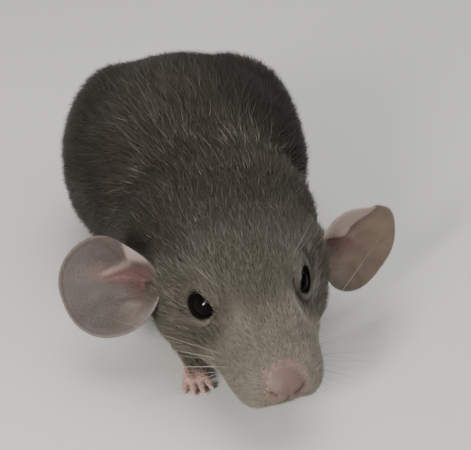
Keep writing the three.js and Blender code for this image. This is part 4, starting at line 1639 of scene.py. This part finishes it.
        # Tufts drawn as light hairs, more of them where painted light is written.
        light = c.math("LESS_THAN", chance(0.0, 1.0, 7), named("silver"))
        points = store(points, "light_hair", light, "FLOAT", "POINT")
        points = store(points, "root_normal", spread.outputs["Normal"], "FLOAT_VECTOR", "POINT")
        points = store(points, "root_turn", turn, "FLOAT", "POINT")
        up, lie = named("root_normal", "FLOAT_VECTOR"), named("lie", "FLOAT_VECTOR")
        swing = c.add("ShaderNodeVectorRotate", rotation_type="AXIS_ANGLE", inputs={
            "Vector": lie, "Axis": up, "Angle": named("root_turn")})
        aim = c.add("FunctionNodeAxesToRotation", primary_axis="Z", secondary_axis="X", inputs={
            "Primary Axis": up, "Secondary Axis": swing.outputs["Vector"]})
        long = c.math("MULTIPLY", named("coat_length"), given["Length"])
        long = c.math("MULTIPLY", long, chance(0.65, 1.12, 3))
        wide = c.math("MULTIPLY", named("coat_width"), given["Width"])
        high = c.math("MULTIPLY", c.math("MULTIPLY", long, named("coat_lift")), chance(0.8, 1.12, 4))
        size = c.add("ShaderNodeCombineXYZ", {"X": long, "Y": wide, "Z": high})
        pick = c.add("GeometryNodeCollectionInfo", {
            "Collection": given["Strands"], "Separate Children": True, "Reset Children": True})
        put = c.add("GeometryNodeInstanceOnPoints", {
            "Points": points, "Instance": pick.outputs["Instances"], "Pick Instance": True,
            "Instance Index": chance(0, self.variants - 1, 5, "INT"),
            "Rotation": aim.outputs["Rotation"], "Scale": size.outputs["Vector"],
        })
        real = c.add("GeometryNodeRealizeInstances", {"Geometry": put.outputs["Instances"]})
        side = c.add("ShaderNodeVectorMath", {0: up, 1: lie}, operation="CROSS_PRODUCT")
        push = c.add("ShaderNodeVectorMath", operation="SCALE", inputs={
            0: side.outputs["Vector"], "Scale": c.math("MULTIPLY", named("sway"), named("coat_length"))})
        bend = c.add("GeometryNodeSetPosition", {
            "Geometry": real.outputs["Geometry"], "Offset": push.outputs["Vector"]})
        where = c.add("ShaderNodeSeparateXYZ", {"Vector": place}).outputs
        over = c.add("ShaderNodeCombineXYZ", {
            "X": where["X"], "Y": where["Y"], "Z": c.math("MAXIMUM", where["Z"], 0.0001)})
        rest = c.add("GeometryNodeSetPosition", {
            "Geometry": bend.outputs["Geometry"], "Position": over.outputs["Vector"]})
        scale = c.add("ShaderNodeCombineXYZ", {"X": given["Patch"], "Y": given["Patch"], "Z": 0.0})
        local = c.add("ShaderNodeVectorMath", operation="MULTIPLY_ADD", inputs={
            0: named("strand", "FLOAT_VECTOR"), 1: scale.outputs["Vector"],
            2: named("root_uv", "FLOAT_VECTOR")})
        done = store(rest.outputs["Geometry"], "OFBake", local.outputs["Vector"], "FLOAT2", "CORNER")
        for name in self.spent:
            done = c.add("GeometryNodeRemoveAttribute", {"Name": name, "Geometry": done}).outputs["Geometry"]
        dress = c.add("GeometryNodeSetMaterial", {"Geometry": done, "Material": material})
        smooth = c.add("GeometryNodeSetShadeSmooth", {0: dress.outputs["Geometry"]})
        c.add("NodeGroupOutput", {"Coat": smooth.outputs[0]})
        return tree

    def root_map(self) -> None:
        """Copy the skin's map to a vector that the tufts can carry."""
        mesh = self.skin.data
        flat = np.empty(len(mesh.loops) * 2, dtype=np.float32)
        mesh.uv_layers["OFBake"].data.foreach_get("uv", flat)
        out = np.zeros((len(mesh.loops), 3), dtype=np.float32)
        out[:, :2] = flat.reshape(-1, 2)
        made = mesh.attributes.new("root_uv", "FLOAT_VECTOR", "CORNER")
        made.data.foreach_set("vector", out.ravel())

    def build(self) -> None:
        """Grow each stretch of the coat as a piece of its own."""
        self.root_map()
        strands = bpy.data.collections.new("strands")
        made = [self.tuft(i) for i in range(self.variants)]
        for strand in made:
            strands.objects.link(strand)
        material = self.material()
        tree = self.tree(material)
        keys = {s.name: s.identifier for s in tree.interface.items_tree if s.in_out == "INPUT"}
        source = self.skin.data
        y = self.shop.points_of(source)[:, 1]
        full = np.empty(len(source.vertices), dtype=np.float32)
        source.attributes["coat_density"].data.foreach_get("value", full)
        for stretch in self.stretches:
            host = bpy.data.objects.new(f"coat_{stretch.name}", source.copy())
            bpy.context.scene.collection.objects.link(host)
            here = np.where((y >= stretch.low) & (y < stretch.high), full, 0.0).astype(np.float32)
            host.data.attributes["coat_density"].data.foreach_set("value", here)
            grow = host.modifiers.new("coat", "NODES")
            grow.node_group = tree
            for name, value in (
                ("Strands", strands), ("Thickness", 1.0), ("Length", 1.0), ("Width", 1.0),
                ("Stray", self.stray), ("Seed", stretch.seed), ("Patch", self.patch),
            ):
                grow[keys[name]] = value
            host.data.update()
            grown = settle_mesh(host)
            grown.name = host.name
            if not grown.materials:
                grown.materials.append(material)
            self.shop.finish_piece(host, "fur")
        discard(made, strands)
        source.attributes.remove(source.attributes["root_uv"])


@dataclass
class Eyeballs:
    """Two bulging black eyes under a wet film."""

    shop: Workshop
    form: EyeForm
    rings: int = 39
    sides: int = 56
    bulge: float = 0.045

    def ball(self, side: Side) -> tuple[Array, Array]:
        """One eyeball with a slightly bulged front.

        Args:
            side: which eye it is.

        Returns:
            Points and triangles.
        """
        theta = np.linspace(0, math.pi, self.rings + 2)[1:-1]
        phi = np.arange(self.sides) * 2 * math.pi / self.sides
        outward, ahead, above = self.form.axes()
        r = self.form.radius * (1 + self.bulge * np.exp(-((theta / 0.75) ** 2)))
        ring = (
            (r * np.cos(theta))[:, None, None] * outward
            + (r * np.sin(theta))[:, None, None]
            * (np.cos(phi)[None, :, None] * ahead + np.sin(phi)[None, :, None] * above)
        )
        poles = np.array([outward * r[0], -outward * r[-1]])
        local = np.concatenate([ring.reshape(-1, 3), poles]) + np.array(self.form.centre)
        local[:, 0] *= side.value
        points = self.shop.head.place(local)
        tri = ring_faces(self.rings, self.sides)
        a, b, c = (points[tri[:, k]] for k in range(3))
        if np.sum(np.cross(b - a, c - a) * (a - points.mean(axis=0))) < 0:
            tri = tri[:, ::-1]
        return points, tri

    def build(self) -> list[bpy.types.Object]:
        """Make both eyeballs as pieces of their own."""
        material = EYE_FINISH.material()
        made = []
        for side in Side:
            eye = self.shop.mesh_object(f"eyeball_{side.word}", *self.ball(side))
            eye.data.materials.append(material)
            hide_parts(f"eye_{side.word}")
            self.shop.finish_piece(eye, "eye")
            made.append(eye)
        return made


@dataclass
class Whiskers:
    """Long tapering whiskers in rows on each pad, a few over the eyes and short ones on the chin."""

    shop: Workshop
    form: Anatomy
    rows: int = 5
    per_row: int = 6
    sides: int = 4
    steps: int = 14
    droop: tuple[float, float, float] = (0.0, 0.55, -0.5)
    least_height: float = 0.15

    def hairs(self) -> Iterable[tuple[Array, Array, float, float]]:
        """Root, direction, length and bend of each whisker in the head's frame."""
        rng = np.random.default_rng(7)
        for side in Side:
            for row in range(self.rows):
                for k in range(self.per_row):
                    back = k / (self.per_row - 1)
                    root = np.array([5.4 + 1.7 * back, -15.6 + 6.6 * back, -8.9 + 1.15 * row + 0.25 * back])
                    way = np.array([0.95, -0.62 + 0.95 * back, -0.62 + 0.27 * row])
                    way += rng.normal(0, 0.09, 3)
                    long = (5.5 + 15.5 * back**1.2) * rng.uniform(0.85, 1.1)
                    yield on_side(root, side), unit(on_side(way, side)), long, rng.uniform(0.12, 0.3)
            for k in range(2):
                root = np.array([6.2 + 0.5 * k, 0.6 + 0.5 * k, 3.4 - 0.2 * k])
                way = np.array([0.5, -0.2 + 0.25 * k, 0.9]) + rng.normal(0, 0.06, 3)
                yield on_side(root, side), unit(on_side(way, side)), 8.5 + k, 0.25
            for k in range(4):
                root = np.array([1.2 + 0.8 * k, -13.6 + 0.9 * k, -11.4])
                way = np.array([0.35, -0.5, -0.9]) + rng.normal(0, 0.12, 3)
                yield on_side(root, side), unit(on_side(way, side)), rng.uniform(2.4, 3.6), 0.1

    def root_on_skin(self, root: Array, way: Array) -> Array:
        """Slide a root along its hair until it lies just under the skin."""
        place = root.copy()
        for _ in range(30):
            d = float(self.form.skin(self.form.head.place(place[None]))[0])
            place = place - way * (d + 0.25) * 0.7
        return place

    def hair(self, root: Array, way: Array, long: float, bend: float) -> tuple[Array, Array]:
        """One whisker.

        Args:
            root: where it starts, in the head's frame.
            way: its direction there.
            long: its length.
            bend: how far it droops, as a share of its length.

        Returns:
            Points and triangles.
        """
        t = np.linspace(0, 1, self.steps)[:, None]
        line = self.root_on_skin(root, way) + way * long * t + np.array(self.droop) * long * bend * t * t
        line = self.form.head.place(line)
        line[:, 2] = np.maximum(line[:, 2], self.least_height)
        radius = (0.010 + 0.0013 * long) * (1 - t[:, 0]) ** 0.8 + 0.005
        return tube(line, radius, self.sides, (0.1, 0.2, 1.0))

    def build(self) -> None:
        """Make all the whiskers as one piece."""
        piece = self.shop.mesh_object("whiskers", *gather(self.hair(*given) for given in self.hairs()))
        piece.data.materials.append(WHISKER_FINISH.material())
        self.shop.finish_piece(piece, "pale_fur")


@dataclass
class Claws:
    """Small curved claws on every toe."""

    shop: Workshop
    feet: list[FootForm]
    sides: int = 8
    steps: int = 7
    least_height: float = 0.12

    def claw(self, foot: FootForm, toe: list[Array]) -> tuple[Array, Array]:
        """One claw.

        Args:
            foot: the foot that it is on.
            toe: the toe's joints.

        Returns:
            Points and triangles.
        """
        r = foot.toe_radius
        start = toe[3] + (toe[2] - toe[3]) * 0.1
        t = np.linspace(0, 1, self.steps)[:, None]
        line = start + (toe[4] - start) * t
        line[:, 2] += (r * 0.45 * np.sin(t * math.pi * 0.9))[:, 0]
        line[:, 2] = np.maximum(line[:, 2], self.least_height)
        line[:, 0] *= foot.side.value
        points, faces = tube(line, r * 0.42 * (1 - t[:, 0] ** 1.6) + 0.03, self.sides, (0.0, 0.0, 1.0), 0.8)
        points[:, 2] = np.maximum(points[:, 2], 0.0)
        return points, faces

    def build(self) -> None:
        """Make all the claws as one piece."""
        claws = (self.claw(foot, toe) for foot in self.feet for toe in foot.digits())
        piece = self.shop.mesh_object("claws", *gather(claws))
        piece.data.materials.append(CLAW_FINISH.material())
        self.shop.finish_piece(piece, "bare_skin")


@dataclass
class Studio:
    """The plain floor, the soft lights and the camera."""

    shop: Workshop
    azimuth: float = -16.0
    elevation: float = 34.0
    focal_pixels: float = 900.0
    frame_pixels: tuple[float, float] = (471.0, 450.0)
    eyes_at: tuple[float, float] = (252.0, 292.0)
    distance: float = 155.0
    film: float = 36.0
    floor_half: float = 3000.0

    def axes(self) -> tuple[Array, Array, Array]:
        """The camera's right, up and backward directions."""
        a, e = math.radians(self.azimuth), math.radians(self.elevation)
        back = np.array([math.sin(a) * math.cos(e), -math.cos(a) * math.cos(e), math.sin(e)])
        right = np.array([math.cos(a), math.sin(a), 0.0])
        return right, np.cross(back, right), back

    def camera(self) -> None:
        """Set the camera where the middle of the eyes falls on its place in the picture."""
        right, up, back = self.axes()
        wide, high = self.frame_pixels
        ray = np.array([self.eyes_at[0] - wide / 2, high / 2 - self.eyes_at[1], -self.focal_pixels])
        ray *= self.distance / np.linalg.norm(ray)
        eye = np.array(self.shop.head.between_eyes)
        place = eye - (right * ray[0] + up * ray[1] + back * ray[2])
        data = bpy.data.cameras.new("camera")
        data.sensor_width = self.film
        data.sensor_fit = "HORIZONTAL"
        data.lens = self.focal_pixels / wide * self.film
        data.clip_start = 0.002
        data.clip_end = 20.0
        made = bpy.data.objects.new("camera", data)
        turn = Matrix((right, up, back)).transposed().to_4x4()
        made.matrix_world = Matrix.Translation(Vector(self.shop.to_world(place))) @ turn
        bpy.context.scene.collection.objects.link(made)
        bpy.context.scene.camera = made

    def floor(self) -> None:
        """A wide plain floor."""
        size = self.floor_half
        corners = size * np.array([[-1, -1, 0], [1, -1, 0], [1, 1, 0], [-1, 1, 0]], dtype=float)
        floor = self.shop.mesh_object("floor", corners, np.array([[0, 1, 2, 3]]), smooth=False)
        floor.data.materials.append(FLOOR_FINISH.material())

    def lamp(self, name: str, way: Sequence[float], far: float, size: Sequence[float], power: float,
             colour: Sequence[float]) -> bpy.types.Object:
        """Hang one soft lamp that faces the animal.

        Args:
            name: its name.
            way: direction from the head to the lamp.
            far: its distance in metres.
            size: its width and height in metres.
            power: its power in watts.
            colour: its colour.

        Returns:
            The lamp.
        """
        data = bpy.data.lights.new(name, "AREA")
        data.shape = "ELLIPSE"
        data.size, data.size_y = size
        data.energy = power
        data.color = colour
        made = bpy.data.objects.new(name, data)
        target = Vector(self.shop.to_world(np.array([0.0, -20.0, 18.0])))
        way_vector = Vector(unit(np.array(way, dtype=float)))
        made.location = target + way_vector * far
        made.rotation_euler = way_vector.to_track_quat("Z", "Y").to_euler()
        bpy.context.scene.collection.objects.link(made)
        return made

    def glint(self, eyeballs: Sequence[bpy.types.Object]) -> None:
        """Hang the lamp that only the eyes mirror, low and to the animal's right."""
        lamp = self.lamp("glint", (-0.79, -0.58, 0.17), 0.30, (0.045, 0.11), 4.6, (1.0, 1.0, 1.0))
        lamp.rotation_euler.rotate_axis("Z", math.radians(-35))
        only = bpy.data.collections.new("eyes_only")
        for eyeball in eyeballs:
            only.objects.link(eyeball)
        lamp.light_linking.receiver_collection = only

    def build(self, eyeballs: Sequence[bpy.types.Object]) -> None:
        """Floor, lamps, sky and camera."""
        self.floor()
        self.camera()
        self.glint(eyeballs)
        self.lamp("key", (-0.68, -0.60, 0.42), 0.36, (0.065, 0.13), 1.35, (1.0, 0.97, 0.92))
        self.lamp("overhead", (0.1, 0.15, 1.0), 0.9, (0.9, 0.9), 6.5, (1.0, 0.99, 0.97))
        self.lamp("fill", (0.9, -0.5, 0.5), 0.9, (0.7, 0.7), 2.4, (0.98, 0.98, 1.0))
        world = bpy.data.worlds.new("studio")
        bpy.context.scene.world = world
        world.use_nodes = True
        back = world.node_tree.nodes["Background"]
        back.inputs["Color"].default_value = (0.82, 0.84, 0.86, 1.0)
        back.inputs["Strength"].default_value = 0.35


def feet_of_the_rat() -> list[FootForm]:
    """The four feet.

    Returns:
        Forepaws and hind feet of both sides.
    """
    feet = []
    for side in Side:
        feet.append(FootForm(
            side, (9.6, -35.4, 2.6), (9.9, -39.6, 1.35), 4, 3.6, 0.68, 17.0, 2.1,
            ((11.5, -23.0, 8.5, 3.6), (11.0, -28.5, 5.6, 2.7),
             (10.1, -32.5, 3.9, 2.0), (9.7, -35.2, 2.7, 1.6)),
        ))
        feet.append(FootForm(
            side, (15.5, 16.5, 2.2), (18.4, -2.0, 1.5), 5, 6.2, 0.95, 13.0, 2.7,
            ((15.0, 19.0, 8.0, 3.0), (15.4, 17.5, 3.6, 2.2), (15.7, 15.5, 2.3, 1.8)),
        ))
    return feet


def main() -> None:
    """Build the rat and its studio."""
    logging.basicConfig(level=logging.INFO, format="%(message)s")
    form = Anatomy()
    shop = Workshop(form.head, form.eye.centre)
    LOG.info("solids stand at %s", shop.shift)
    feet = feet_of_the_rat()
    skin = SkinPiece(shop, form, feet, TailForm()).build()
    eyeballs = Eyeballs(shop, form.eye).build()
    Studio(shop).build(eyeballs)
    CoatPiece(shop, skin).build()
    Whiskers(shop, form).build()
    Claws(shop, feet).build()


if __name__ == "__main__":
    main()
